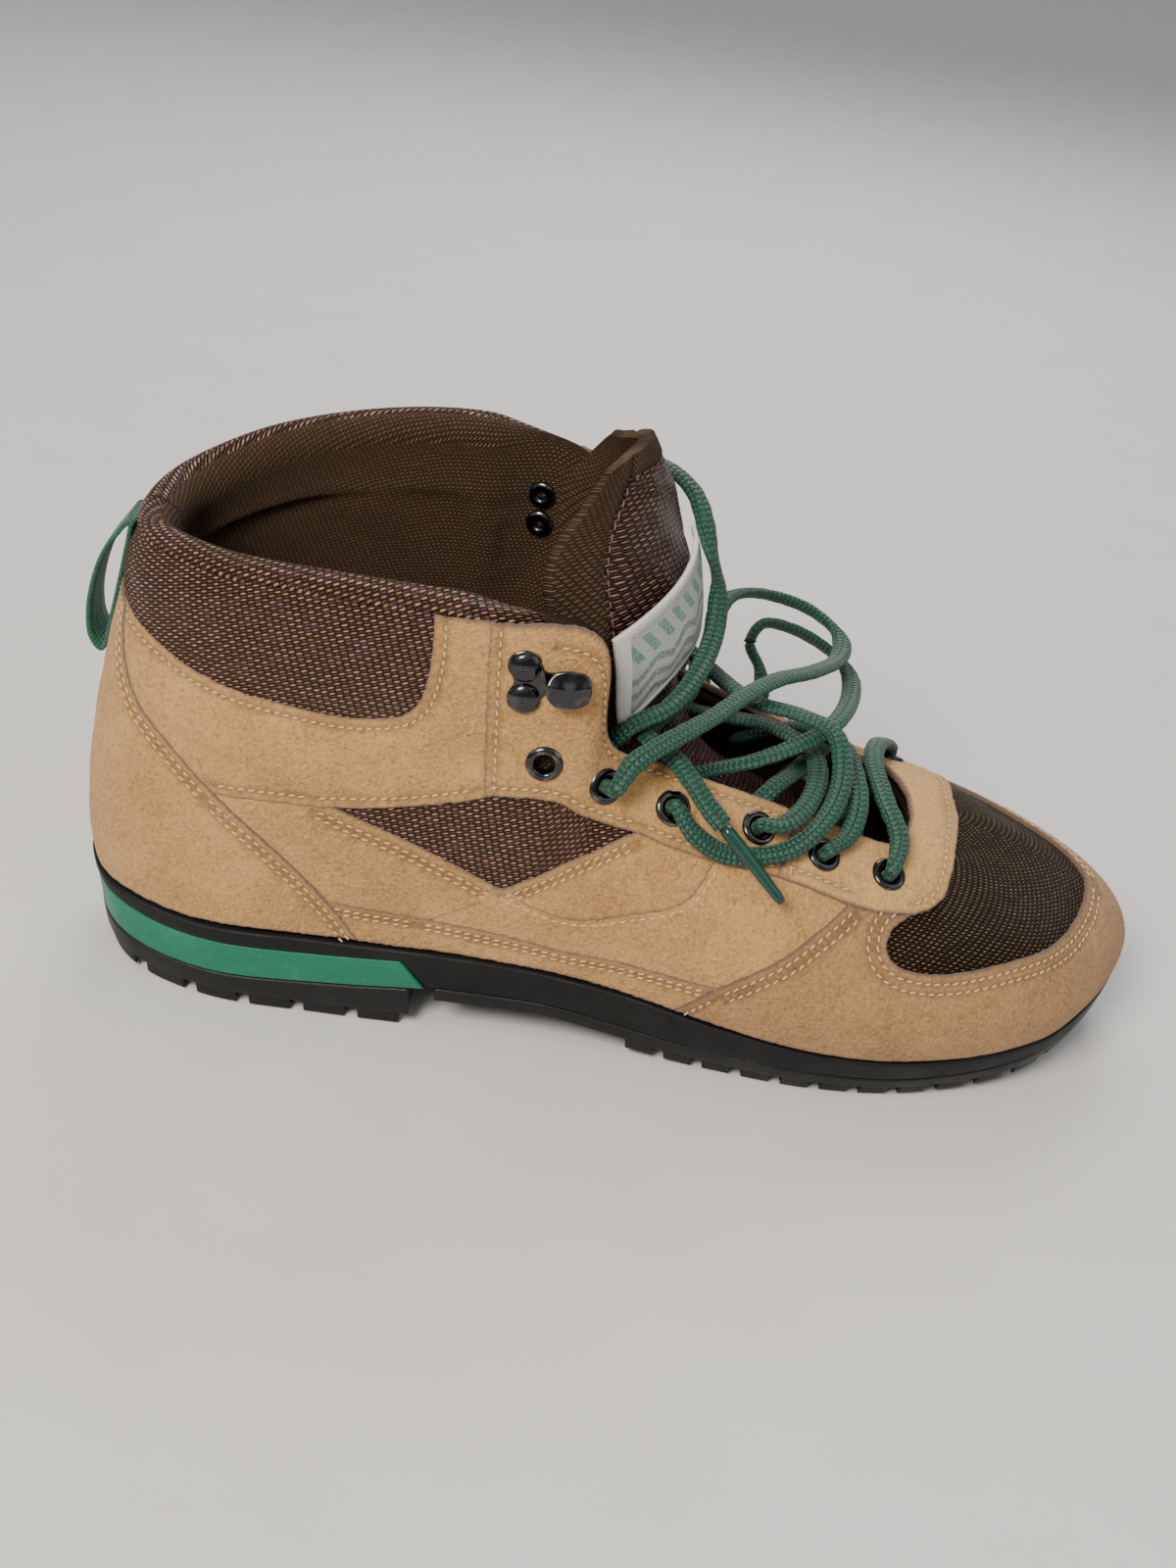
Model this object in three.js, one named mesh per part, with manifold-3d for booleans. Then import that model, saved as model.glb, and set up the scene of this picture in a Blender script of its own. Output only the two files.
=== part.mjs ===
// Hiking boot (one right boot), millimetres, +Z up, +X to the toe, -Y to the outer (lateral) side.
// The upper is tiled by panels cut from one last-shaped surface; the sole is stacked below it.
import * as THREE from 'three';
import { mergeVertices } from 'three/addons/utils/BufferGeometryUtils.js';
import Module from 'manifold-3d';

const wasm = await Module();
wasm.setup();

// ---------------------------------------------------------------- driving dimensions
const bootLength = 300;        // heel to toe of the upper's reference last
const bootWidth = 104;         // across the ball
const collarHeight = 127;      // ground to the outer collar edge at the heel
const suedeThickness = 1.8;
const nylonThickness = 1.5;
const nylonRecess = 0.3;       // nylon sits this far below the suede's outer face
const liningThickness = 1.6;
const collarPadding = 6.5;     // foam thickness at the top of the collar
const collarRoll = 3.2;        // how far the padded roll stands above the suede's top edge
const seamGap = 0.5;           // between neighbouring panels
const layerGap = 0.9;          // between stacked layers of the upper
const fitGap = 0.35;           // between pieces that touch
const outsoleThickness = 4.5;
const lugHeight = 4;
const wedgeRecess = 0.4;       // wedge side face inside the midsole's side face
const eyeletFlange = 4.4;      // flange radius
const eyeletBore = 2.4;        // hole radius
const eyeletWall = 0.45;
const eyeletSag = 0.16;         // the wall's curve behind a ring, for each square millimetre of its rim
const laceRadius = 1.75;
const insoleThickness = 1.6;
const footbedThickness = 4;
const tongueFoam = 7;
const tabWidth = 15;           // heel pull tab webbing width
const tabThickness = 1.4;
const originX = 150.5;         // from the heel's back to the boot's middle
const originY = -0.8;          // from the last's axis to the boot's middle
const facet = 15;              // longest panel edge
const SIDES = { lateral: 1, medial: -1 };

// ---------------------------------------------------------------- materials
const LOOKS = {
  suede: { color: 0xb98f5c, roughness: 0.9, metalness: 0 },
  suedeDark: { color: 0x9c7a55, roughness: 0.92, metalness: 0 },
  nylon: { color: 0x4a3328, roughness: 0.75, metalness: 0 },
  lining: { color: 0x5a4634, roughness: 0.85, metalness: 0 },
  rubber: { color: 0x1b1b1a, roughness: 0.7, metalness: 0 },
  foam: { color: 0x242422, roughness: 0.8, metalness: 0 },
  green: { color: 0x2f7a5a, roughness: 0.7, metalness: 0 },
  webbing: { color: 0x1f6b4c, roughness: 0.8, metalness: 0 },
  board: { color: 0x8a8378, roughness: 0.9, metalness: 0 },
  metal: { color: 0x141414, roughness: 0.3, metalness: 0.8 },
  steel: { color: 0x8b8f94, roughness: 0.4, metalness: 0.9 },
  lace: { color: 0x14513a, roughness: 0.8, metalness: 0 },
  plastic: { color: 0x1d5a46, roughness: 0.4, metalness: 0 },
  label: { color: 0xb9bdb2, roughness: 0.85, metalness: 0 },
};

const group = new THREE.Group();
group.position.set(-originX, -originY, 0);

function addMesh(name, geometry, look) {
  const mesh = new THREE.Mesh(geometry, new THREE.MeshStandardMaterial(LOOKS[look]));
  mesh.name = name;
  group.add(mesh);
  return mesh;
}

// ---------------------------------------------------------------- the last: 24 ribs of 4 control points
// Rib order: heel back, outer side to the toe, toe tip, inner side back to the heel.
// Each rib is a cubic Bezier from the sole edge (x, y; z follows the sole) to the opening's edge.
const RIBS = [
  [[5, 0], [2, 0, 58], [13, 0, 98], [19, 0, 127]],
  [[14, -23], [10.5, -25.5, 58], [18, -20, 96], [25, -19.5, 128]],
  [[40, -35.5], [38, -38, 58], [43, -34, 98], [46, -32, 127.5]],
  [[72, -37.5], [71, -41, 60], [75, -37, 98], [77, -36.5, 127]],
  [[102, -38], [101, -42, 60], [107, -38, 96], [109, -36.5, 126]],
  [[126, -38.5], [126, -44, 58], [130, -39, 95], [137.5, -33, 124]],
  [[139, -39.5], [139, -45.5, 55], [141, -40, 84], [142, -30, 95]],
  [[155, -41.5], [155, -47, 52], [155, -40, 78], [156, -24.5, 86]],
  [[181, -46], [181, -51.5, 46], [181, -40, 70], [180, -21, 78]],
  [[210, -49.5], [210, -55.5, 40], [208, -40, 61], [206, -18, 68.5]],
  [[241, -46], [244, -52, 37], [236, -34, 57], [221, -17, 64.5]],
  [[273, -31], [279, -36, 37], [258, -22, 57], [226, -9, 66]],
  [[296, 3], [303, 4, 39], [273, 2, 59], [227, -1, 66.5]],
  [[286, 27], [293, 31, 39], [265, 18, 61], [226, 7, 67.5]],
  [[259, 41], [263, 46, 39], [246, 31, 63], [221, 15, 68.5]],
  [[225, 46], [226, 52, 42], [215, 39, 66], [206, 18, 71.5]],
  [[188, 42.5], [188, 48, 47], [183, 39, 75], [180, 21.5, 80.5]],
  [[158, 34], [158, 41.5, 52], [155, 41, 82], [155, 25, 90]],
  [[141, 31.5], [141, 39, 56], [141, 44, 92], [141, 33, 102]],
  [[126, 29.5], [126, 37, 58], [131, 43, 100], [135, 40, 138]],
  [[100, 29.5], [100, 37, 60], [106, 45, 100], [107, 48, 142]],
  [[72, 31.5], [71, 37, 60], [75, 43, 100], [77, 46.5, 141]],
  [[40, 32], [38, 36, 60], [43, 39, 98], [46, 38, 136]],
  [[14, 22.5], [10.5, 25, 60], [18, 22, 97], [25, 20.5, 130]],
];
const RIB_COUNT = RIBS.length;
const REFERENCE = { length: 300, width: 104, height: 127 };
const scaleX = bootLength / REFERENCE.length;
const scaleY = bootWidth / REFERENCE.width;
const scaleZ = collarHeight / REFERENCE.height;

function spline1(t, p0, p1, p2, p3) {
  const a = 2 * p1;
  const b = (p2 - p0) * t;
  const c = (2 * p0 - 5 * p1 + 4 * p2 - p3) * t * t;
  const d = (3 * p1 - p0 - 3 * p2 + p3) * t * t * t;
  return 0.5 * (a + b + c + d);
}

// a height read from [x, z] pairs in reference millimetres, smooth between them
function profile(points) {
  return (x) => {
    const s = x / scaleX;
    const last = points.length - 1;
    let i = 0;
    while (i < last - 1 && s > points[i + 1][0]) i += 1;
    const [x0, z0] = points[i];
    const [x1, z1] = points[i + 1];
    const t = THREE.MathUtils.clamp((s - x0) / (x1 - x0), 0, 1);
    const zBefore = points[Math.max(i - 1, 0)][1];
    const zAfter = points[Math.min(i + 2, last)][1];
    return spline1(t, zBefore, z0, z1, zAfter);
  };
}

// heights along the boot: the seat of the upper, the wedge's two faces and the ground side
const seatHeight = profile([[-6, 31.5], [5, 30.5], [14, 28.8], [40, 27.2], [72, 27.5], [102, 27.5],
  [126, 26.5],
  [155, 24], [181, 20], [210, 17.5], [241, 17.5], [273, 19.4], [296, 22], [306, 23.5]]);
const wedgeTopHeight = profile([[-6, 29], [5, 26], [16, 23.6], [30, 21.8], [46, 21.4], [62, 21.6],
  [78, 22.3],
  [100, 23.4]]);
const wedgeBottomHeight = profile([[-6, 15.5], [5, 14], [14, 12.4], [26, 11], [42, 10.6], [60, 11.2],
  [78, 12.4],
  [104, 14.4]]);
const heelGround = profile([[-6, 6], [5, 3.4], [14, 1.3], [24, 0.3], [34, 0], [100, 0]]);
const soleGround = profile([[90, 6.6], [104, 6.6], [120, 6.4], [136, 5.8], [156, 2.8], [172, 0.8],
  [186, 0],
  [225, 0], [250, 1.4], [273, 3.9], [290, 6.8], [306, 9.5]]);

const CONTROLS = RIBS.map((rib) => rib.map(([x, y, z]) => {
  const px = x * scaleX;
  return new THREE.Vector3(px, y * scaleY, z === undefined ? seatHeight(px) : z * scaleZ);
}));

function wrap(i) {
  return ((i % RIB_COUNT) + RIB_COUNT) % RIB_COUNT;
}

function skinPoint(u, v) {
  const i = Math.floor(u);
  const t = u - i;
  const w = 1 - v;
  const weights = [w * w * w, 3 * v * w * w, 3 * v * v * w, v * v * v];
  const point = new THREE.Vector3();
  for (let k = 0; k < 4; k += 1) {
    const [a, b, c, d] = [-1, 0, 1, 2].map((j) => CONTROLS[wrap(i + j)][k]);
    point.x += weights[k] * spline1(t, a.x, b.x, c.x, d.x);
    point.y += weights[k] * spline1(t, a.y, b.y, c.y, d.y);
    point.z += weights[k] * spline1(t, a.z, b.z, c.z, d.z);
  }
  return point;
}

function skinNormal(u, v) {
  const e = 0.004;
  const du = skinPoint(u + e, v).sub(skinPoint(u - e, v));
  const dv = skinPoint(u, v + e).sub(skinPoint(u, v - e));
  return du.cross(dv).normalize();
}

// the point at a height above (+) or below (-) the outer face of the suede
function skin(u, v, offset) {
  return skinPoint(u, v).addScaledVector(skinNormal(u, v), offset);
}

// ---------------------------------------------------------------- general solids
function signedVolume(points, triangles) {
  let sum = 0;
  const crossed = new THREE.Vector3();
  for (const [a, b, c] of triangles) sum += crossed.crossVectors(points[b], points[c]).dot(points[a]);
  return sum / 6;
}

// a closed body from points and triangles, with its faces turned outwards
function meshFrom(points, triangles) {
  const geometry = new THREE.BufferGeometry();
  const flat = points.flatMap((p) => [p.x, p.y, p.z]);
  const inward = signedVolume(points, triangles) < 0;
  const faces = inward ? triangles.map(([a, b, c]) => [a, c, b]) : triangles;
  geometry.setAttribute('position', new THREE.Float32BufferAttribute(flat, 3));
  geometry.setIndex(faces.flat());
  return geometry;
}

function welded(geometry) {
  const copy = geometry.clone();
  for (const key of Object.keys(copy.attributes)) {
    if (key !== 'position') copy.deleteAttribute(key);
  }
  return mergeVertices(copy, 1e-4);
}

function toSolid(geometry) {
  const merged = welded(geometry);
  return new wasm.Manifold(new wasm.Mesh({
    numProp: 3,
    vertProperties: new Float32Array(merged.attributes.position.array),
    triVerts: new Uint32Array(merged.index.array),
  }));
}

function fromSolid(solid) {
  const mesh = solid.getMesh();
  const geometry = new THREE.BufferGeometry();
  geometry.setAttribute('position', new THREE.BufferAttribute(mesh.vertProperties.slice(), 3));
  geometry.setIndex(new THREE.BufferAttribute(mesh.triVerts.slice(), 1));
  return geometry;
}

function cut(geometry, cutters) {
  let solid = toSolid(geometry);
  for (const cutter of cutters) solid = solid.subtract(toSolid(cutter));
  return fromSolid(solid);
}

function join(geometries) {
  let solid = toSolid(geometries[0]);
  for (const geometry of geometries.slice(1)) solid = solid.add(toSolid(geometry));
  return fromSolid(solid);
}

// a flat outline moved inwards by a distance; the outline runs counter-clockwise
function inset(outline, distance) {
  const count = outline.length;
  return outline.map((p, i) => {
    const before = outline[(i + count - 1) % count];
    const after = outline[(i + 1) % count];
    const a = new THREE.Vector2(p.y - before.y, before.x - p.x).normalize();
    const b = new THREE.Vector2(after.y - p.y, p.x - after.x).normalize();
    const scale = distance / Math.max(0.35, 1 + a.dot(b));
    return new THREE.Vector2(p.x - (a.x + b.x) * scale, p.y - (a.y + b.y) * scale);
  });
}

const FAR = 1000;

// the part of a flat outline between two lines of constant x
function stretch(outline, from, to) {
  let result = outline;
  for (const [limit, keepAbove] of [[from, true], [to, false]]) {
    const inside = (p) => (keepAbove ? p.x >= limit : p.x <= limit);
    const next = [];
    result.forEach((p, i) => {
      const q = result[(i + 1) % result.length];
      if (inside(p)) next.push(p);
      if (inside(p) !== inside(q)) {
        const t = (limit - p.x) / (q.x - p.x);
        next.push(new THREE.Vector2(limit, p.y + (q.y - p.y) * t));
      }
    });
    result = next;
  }
  return result;
}

// a flat outline cut into strips at even steps, and at extra lines
function strips(outline, width, lines = []) {
  const xs = outline.map((p) => p.x);
  const cuts = [...lines];
  for (let x = Math.ceil(Math.min(...xs) / width) * width; x < Math.max(...xs); x += width) cuts.push(x);
  cuts.push(FAR);
  cuts.sort((x0, x1) => x0 - x1);
  const tiles = [];
  let from = -FAR;
  for (const to of cuts) {
    if (to - from > width * 0.2 || lines.includes(to)) {
      const tile = stretch(outline, from, to);
      if (tile.length > 2) tiles.push(tile);
      from = to;
    }
  }
  return tiles;
}

// triangles over flat tiles, split until no edge is longer than the step
function refine(tiles, step) {
  const points = [];
  const lookup = new Map();
  const indexOf = (p) => {
    const key = `${Math.round(p.x * 1e4)},${Math.round(p.y * 1e4)}`;
    if (!lookup.has(key)) {
      lookup.set(key, points.length);
      points.push(p.clone());
    }
    return lookup.get(key);
  };
  let triangles = [];
  for (const tile of tiles) {
    const ids = tile.map(indexOf);
    for (const face of THREE.ShapeUtils.triangulateShape(tile, [])) {
      triangles.push(face.map((k) => ids[k]));
    }
  }
  triangles = triangles.filter(([a, b, c]) => a !== b && b !== c && c !== a);
  const length = (a, b) => points[a].distanceTo(points[b]);
  const name = (a, b) => (a < b ? `${a}-${b}` : `${b}-${a}`);
  for (let round = 0; round < 40; round += 1) {
    const marked = new Set();
    for (const [a, b, c] of triangles) {
      const edges = [[a, b], [b, c], [c, a]].sort((p, q) => length(...q) - length(...p));
      if (length(...edges[0]) > step) marked.add(name(...edges[0]));
    }
    if (marked.size === 0) break;
    const middle = (a, b) => indexOf(points[a].clone().add(points[b]).multiplyScalar(0.5));
    const next = [];
    for (const [a, b, c] of triangles) {
      const flags = [[a, b], [b, c], [c, a]].map((edge) => marked.has(name(...edge)));
      const count = flags.filter(Boolean).length;
      if (count === 0) {
        next.push([a, b, c]);
      } else if (count === 3) {
        const [ab, bc, ca] = [middle(a, b), middle(b, c), middle(c, a)];
        next.push([a, ab, ca], [ab, b, bc], [ca, bc, c], [ab, bc, ca]);
      } else if (count === 2) {
        const k = flags.indexOf(false);
        const [p, q, r] = [[a, b, c], [b, c, a], [c, a, b]][k];
        const [qr, rp] = [middle(q, r), middle(r, p)];
        next.push([rp, qr, r], [p, q, qr], [p, qr, rp]);
      } else {
        const k = flags.indexOf(true);
        const [p, q, r] = [[a, b, c], [b, c, a], [c, a, b]][k];
        const pq = middle(p, q);
        next.push([p, pq, r], [pq, q, r]);
      }
    }
    triangles = next;
  }
  return { points, triangles };
}

// a closed sheet: flat tiles carried to a top face and a bottom face, with walls between them
function sheet(tiles, step, topFace, bottomFace) {
  const { points, triangles } = refine(tiles, step);
  const count = points.length;
  const space = points.map((p) => topFace(p.x, p.y)).concat(points.map((p) => bottomFace(p.x, p.y)));
  const faces = [];
  const open = new Map();
  for (const [a, b, c] of triangles) {
    faces.push([a, b, c], [count + c, count + b, count + a]);
    for (const [p, q] of [[a, b], [b, c], [c, a]]) {
      if (open.has(`${q},${p}`)) open.delete(`${q},${p}`);
      else open.set(`${p},${q}`, [p, q]);
    }
  }
  for (const [p, q] of open.values()) {
    faces.push([q, p, count + p], [q, count + p, count + q]);
  }
  return meshFrom(space, faces);
}

// rings of points joined into a closed body: a ring of rings, or a stack with end caps
function loft(rings, closed) {
  const around = rings[0].length;
  const points = rings.flat();
  const faces = [];
  const last = closed ? rings.length : rings.length - 1;
  for (let i = 0; i < last; i += 1) {
    const next = (i + 1) % rings.length;
    for (let j = 0; j < around; j += 1) {
      const k = (j + 1) % around;
      const [a, b, c, d] = [i * around + j, i * around + k, next * around + k, next * around + j];
      faces.push([a, b, c], [a, c, d]);
    }
  }
  if (!closed) {
    for (const [ring, flip] of [[0, true], [rings.length - 1, false]]) {
      const first = ring * around;
      for (let j = 0; j < around / 2 - 1; j += 1) {
        const [a, b] = [first + j, first + j + 1];
        const [c, d] = [first + around - 2 - j, first + around - 1 - j];
        faces.push(...(flip ? [[a, d, c], [a, c, b]] : [[a, b, c], [a, c, d]]));
      }
    }
  }
  return meshFrom(points, faces);
}

// a smooth seam through chosen points, as a list of [u, v]
function seam(points, steps) {
  const curve = new THREE.SplineCurve(points.map(([u, v]) => new THREE.Vector2(u, v)));
  return curve.getPoints(steps).map((p) => [p.x, p.y]);
}

// ---------------------------------------------------------------- seams of the outer (lateral) side
// A seam is a list of [u, v]: u counts ribs from the heel, v runs from the sole edge (0) to the opening (1).
// The inner (medial) side's seams are the same with u turned over.
const RIB_SPAN = 26;           // flat millimetres for one rib spacing
const WALL_SPAN = 88;          // flat millimetres from sole edge to opening
const BASE = 0.012;            // the panels' lower edge, just above the sole edge
const EDGE = 0.995;            // the panels' upper edge at the opening
const ARM = 3.66;              // rear edge of the collar band's front arm
const POST = 4.07;             // seam between the arm and the eyestay
const YOKE = 8.52;             // seam between the eyestay and the throat piece

const SEAMS = {
  counterLow: seam([[3.38, BASE], [3.12, 0.13], [2.6, 0.295], [2.14, 0.42]], 5),
  counterHigh: seam([[2.14, 0.42], [1.74, 0.515], [1.35, 0.6], [1.06, 0.7], [0.85, 0.818]], 6),
  collarTop: seam([[0.85, 0.82], [0.45, 0.832], [0, 0.835]], 2),
  collarLow: seam([[ARM, EDGE], [3.68, 0.82], [3.56, 0.71], [3.1, 0.67], [2.5, 0.685], [1.9, 0.72],
  [1.4, 0.77],
    [0.85, 0.82]], 14),
  bandRear: [[2.14, 0.42], [2.94, 0.42]],
  bandFront: [[2.94, 0.42], [3.6, 0.455], [4.32, 0.52]],
  eyestayRear: [[4.32, 0.52], [4.22, 0.68], [4.13, 0.84], [POST, EDGE]],
  lowWindow: seam([[4.32, 0.52], [4.9, 0.54], [5.5, 0.575], [6.1, 0.635], [6.88, 0.65]], 6),
  lowSaddle: [[6.88, 0.65], [7.3, 0.645], [7.7, 0.65]],
  lowFront: [[7.7, 0.65], [8.0, 0.668], [8.35, 0.69]],
  lowThroat: [[8.35, 0.69], [8.7, 0.695], [9.06, 0.685]],
  throatRear: [[8.35, 0.69], [8.44, 0.85], [YOKE, EDGE]],
  windowFront: [[4.64, 0.24], [5.7, 0.42], [6.88, 0.65]],
  windowRear: [[4.64, 0.24], [3.7, 0.34], [2.94, 0.42]],
  saddleRear: [[4.64, 0.24], [4.25, 0.17], [3.92, 0.115]],
  saddleArc: seam([[7.7, 0.65], [7.5, 0.47], [7.1, 0.36], [6.4, 0.27], [5.5, 0.225], [4.64, 0.24]], 8),
  randRear: [[3.12, 0.13], [3.5, 0.12], [3.92, 0.115]],
  randFront: seam([[3.92, 0.115], [5.0, 0.1], [6.0, 0.105], [6.9, 0.125], [7.9, 0.165]], 7),
  guardLow: [[7.56, BASE], [7.9, 0.165]],
  guardHigh: [[7.9, 0.165], [8.4, 0.36], [8.72, 0.52], [9.06, 0.685]],
  guardTop: [[9.06, 0.685], [9.4, 0.68], [9.75, 0.69]],
};
const TOE_CORNER = [9.42, 0.53];
const toeOuter = seam([[9.75, 0.69], [9.5, 0.62], TOE_CORNER, [9.56, 0.465], [9.95, 0.45], [10.6, 0.47],
  [11.3, 0.46], [12.0, 0.5]], 12);
const toeInner = seam([[12.0, 0.5], [12.6, 0.6], [13.1, 0.665], [13.7, 0.69], [14.25, 0.69]], 6);
const throatFront = seam([[9.75, 0.69], [10.15, 0.74], [10.6, 0.82], [11.2, 0.875], [12.0, 0.895],
  [12.8, 0.88],
  [13.4, 0.83], [13.85, 0.76], [14.25, 0.69]], 12);

function across(points) {
  return points.map(([u, v]) => [RIB_COUNT - u, v]);
}

function behind(points) {
  return points.map(([u, v]) => [-u, v]);
}

function back(points) {
  return points.slice().reverse();
}

function level(from, to, v) {
  const count = Math.max(2, Math.round(Math.abs(to - from) * 2));
  return Array.from({ length: count + 1 }, (unused, i) => [from + ((to - from) * i) / count, v]);
}

// a panel between two heights over the skin; its outline is a chain of seams
function panel(chains, outer, inner, pieces = (outline) => strips(outline, facet)) {
  const flat = [];
  for (const [u, v] of chains.flat()) {
    const p = new THREE.Vector2(u * RIB_SPAN, v * WALL_SPAN);
    if (flat.length === 0 || flat[flat.length - 1].distanceTo(p) > fitGap) flat.push(p);
  }
  if (flat[0].distanceTo(flat[flat.length - 1]) < fitGap) flat.pop();
  if (THREE.ShapeUtils.area(flat) < 0) flat.reverse();
  const place = (offset) => (x, y) => skin(x / RIB_SPAN, y / WALL_SPAN, offset);
  return sheet(pieces(inset(flat, seamGap / 2)), facet * 1.25, place(outer), place(inner));
}

function suedePanel(chains) {
  return panel(chains, 0, -suedeThickness);
}

function nylonPanel(chains) {
  return panel(chains, -nylonRecess, -nylonRecess - nylonThickness);
}

// ---------------------------------------------------------------- eyelets' places, and their tools
const EYELETS = [
  ['1', 9.57, 0.84], ['2', 8.78, 0.845], ['3', 8.12, 0.85],
  ['4', 7.24, 0.805], ['5', 6.14, 0.785], ['6', 4.82, 0.635],
];
const eyeletDepth = suedeThickness + layerGap + liningThickness;

function sideU(u, side) {
  return SIDES[side] > 0 ? u : RIB_COUNT - u;
}

function frameAt(u, v, offset) {
  const origin = skin(u, v, offset);
  const normal = skinNormal(u, v);
  const ahead = skinPoint(u + 0.01, v).sub(skinPoint(u - 0.01, v)).normalize();
  const up = normal.clone().cross(ahead).normalize();
  const matrix = new THREE.Matrix4().makeBasis(ahead, up, normal);
  return matrix.setPosition(origin);
}

function eyeletHole(u, v) {
  const length = eyeletDepth * 4;
  const radius = eyeletBore + eyeletWall + 1.6 * fitGap;
  const hole = new THREE.CylinderGeometry(radius, radius, length, 8);
  hole.rotateX(Math.PI / 2);
  return hole.applyMatrix4(frameAt(u, v, 0));
}

function eyelet(u, v) {
  const top = 0.45;
  const rim = eyeletBore + eyeletWall;
  const bottom = -eyeletDepth - eyeletSag * rim ** 2;
  const points = [
    [eyeletBore, bottom - 0.6], [rim + 1.4, bottom - 0.5], [rim, bottom], [rim, top],
    [eyeletFlange, top], [eyeletFlange - 0.9, top + 1], [eyeletBore, top + 0.9],
    [eyeletBore, bottom - 0.6],
  ];
  const ring = new THREE.LatheGeometry(points.map(([r, z]) => new THREE.Vector2(r, z)), 11);
  ring.rotateX(Math.PI / 2);
  return welded(ring.applyMatrix4(frameAt(u, v, 0)));
}

// ---------------------------------------------------------------- upper: outer panels
addMesh('heel_counter', suedePanel([
  SEAMS.counterLow, SEAMS.counterHigh, SEAMS.collarTop,
  back(behind(SEAMS.collarTop)), back(behind(SEAMS.counterHigh)), back(behind(SEAMS.counterLow)),
  level(-3.38, 3.38, BASE),
]), 'suede');

addMesh('collar_nylon', nylonPanel([
  SEAMS.collarLow, SEAMS.collarTop, back(behind(SEAMS.collarTop)), back(behind(SEAMS.collarLow)),
  level(-ARM, ARM, EDGE),
]), 'nylon');

for (const side of Object.keys(SIDES)) {
  const turn = SIDES[side] > 0 ? (points) => points : across;
  const s = Object.fromEntries(Object.entries(SEAMS).map(([key, points]) => [key, turn(points)]));
  const holes = EYELETS.filter(([, u]) => u < YOKE).map(([, u, v]) => eyeletHole(sideU(u, side), v));
  addMesh(`collar_band_${side}`, suedePanel([
    s.counterHigh, back(s.collarLow), turn(level(ARM, POST, EDGE)), back(s.eyestayRear), back(s.bandFront),
    back(s.bandRear),
  ]), 'suede');
  addMesh(`eyestay_${side}`, cut(suedePanel([
    s.eyestayRear, turn(level(POST, YOKE, EDGE)), back(s.throatRear), back(s.lowFront), back(s.lowSaddle),
    back(s.lowWindow),
  ]), holes), 'suede');
  addMesh(`quarter_window_${side}`, nylonPanel([
    s.bandFront, s.lowWindow, back(s.windowFront), s.windowRear,
  ]), 'nylon');
  addMesh(`rear_quarter_${side}`, suedePanel([
    s.bandRear, back(s.windowRear), s.saddleRear, back(s.randRear), turn([[3.12, 0.13], [2.6, 0.295],
    [2.14, 0.42]]),
  ]), 'suede');
  addMesh(`saddle_${side}`, suedePanel([s.windowFront, s.lowSaddle, s.saddleArc]), 'suede');
  addMesh(`fore_quarter_${side}`, suedePanel([
    back(s.saddleArc), s.lowFront, s.lowThroat, back(s.guardHigh), back(s.randFront), back(s.saddleRear),
  ]), 'suede');
  addMesh(`rand_${side}`, suedePanel([
    s.randRear, s.randFront, back(s.guardLow), turn(level(7.56, 3.38, BASE)),
  ]), 'suede');
}

const yokeHoles = Object.keys(SIDES).flatMap(
  (side) => EYELETS.filter(([, u]) => u >= YOKE).map(([, u, v]) => eyeletHole(sideU(u, side), v)),
);
addMesh('throat_piece', cut(suedePanel([
  SEAMS.throatRear, level(YOKE, RIB_COUNT - YOKE, EDGE), back(across(SEAMS.throatRear)),
  across(SEAMS.lowThroat),
  across(SEAMS.guardTop), back(throatFront), back(SEAMS.guardTop), back(SEAMS.lowThroat),
]), yokeHoles), 'suede');

// the toe guard runs under the toe nylon's rear corner, so it is cut there before it is cut into strips
function guardPieces(outline) {
  const corner = new THREE.Vector2(TOE_CORNER[0] * RIB_SPAN, TOE_CORNER[1] * WALL_SPAN);
  const distances = outline.map((p) => p.distanceTo(corner));
  const start = distances.indexOf(Math.min(...distances));
  const floor = Math.min(...outline.map((p) => p.y));
  const foot = new THREE.Vector2(outline[start].x, floor);
  const walk = outline.map((p, i) => outline[(start + i) % outline.length]);
  const beyond = walk.findIndex((p, i) => i > 0 && p.y < floor + 0.01 && p.x > foot.x);
  const rear = [...walk.slice(0, beyond), foot];
  const front = [foot, ...walk.slice(beyond), walk[0]];
  return [...strips(rear, facet), ...strips(front, facet)];
}

addMesh('toe_guard', panel([
  SEAMS.guardLow, SEAMS.guardHigh, SEAMS.guardTop, toeOuter, toeInner, back(across(SEAMS.guardTop)),
  back(across(SEAMS.guardHigh)), back(across(SEAMS.guardLow)), level(RIB_COUNT - 7.56, 7.56, BASE),
], 0, -suedeThickness, guardPieces), 'suedeDark');

addMesh('toe_nylon', nylonPanel([toeOuter, toeInner, back(throatFront)]), 'nylon');

// -------------------------------------------------------- upper: padded lining, one ring around the foot
const LINING_RIBS = 44;

function smooth(edge0, edge1, x) {
  return THREE.MathUtils.smoothstep(x, Math.min(edge0, edge1), Math.max(edge0, edge1));
}

// 1 around the ankle, 0 along the lacing
function collarShare(u) {
  const fromHeel = Math.min(wrap(u), RIB_COUNT - wrap(u));
  return 1 - smooth(3.8, 4.5, fromHeel);
}

function paddingAt(u, v) {
  return collarPadding * collarShare(u) * smooth(0.4, 0.82, v);
}

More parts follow.
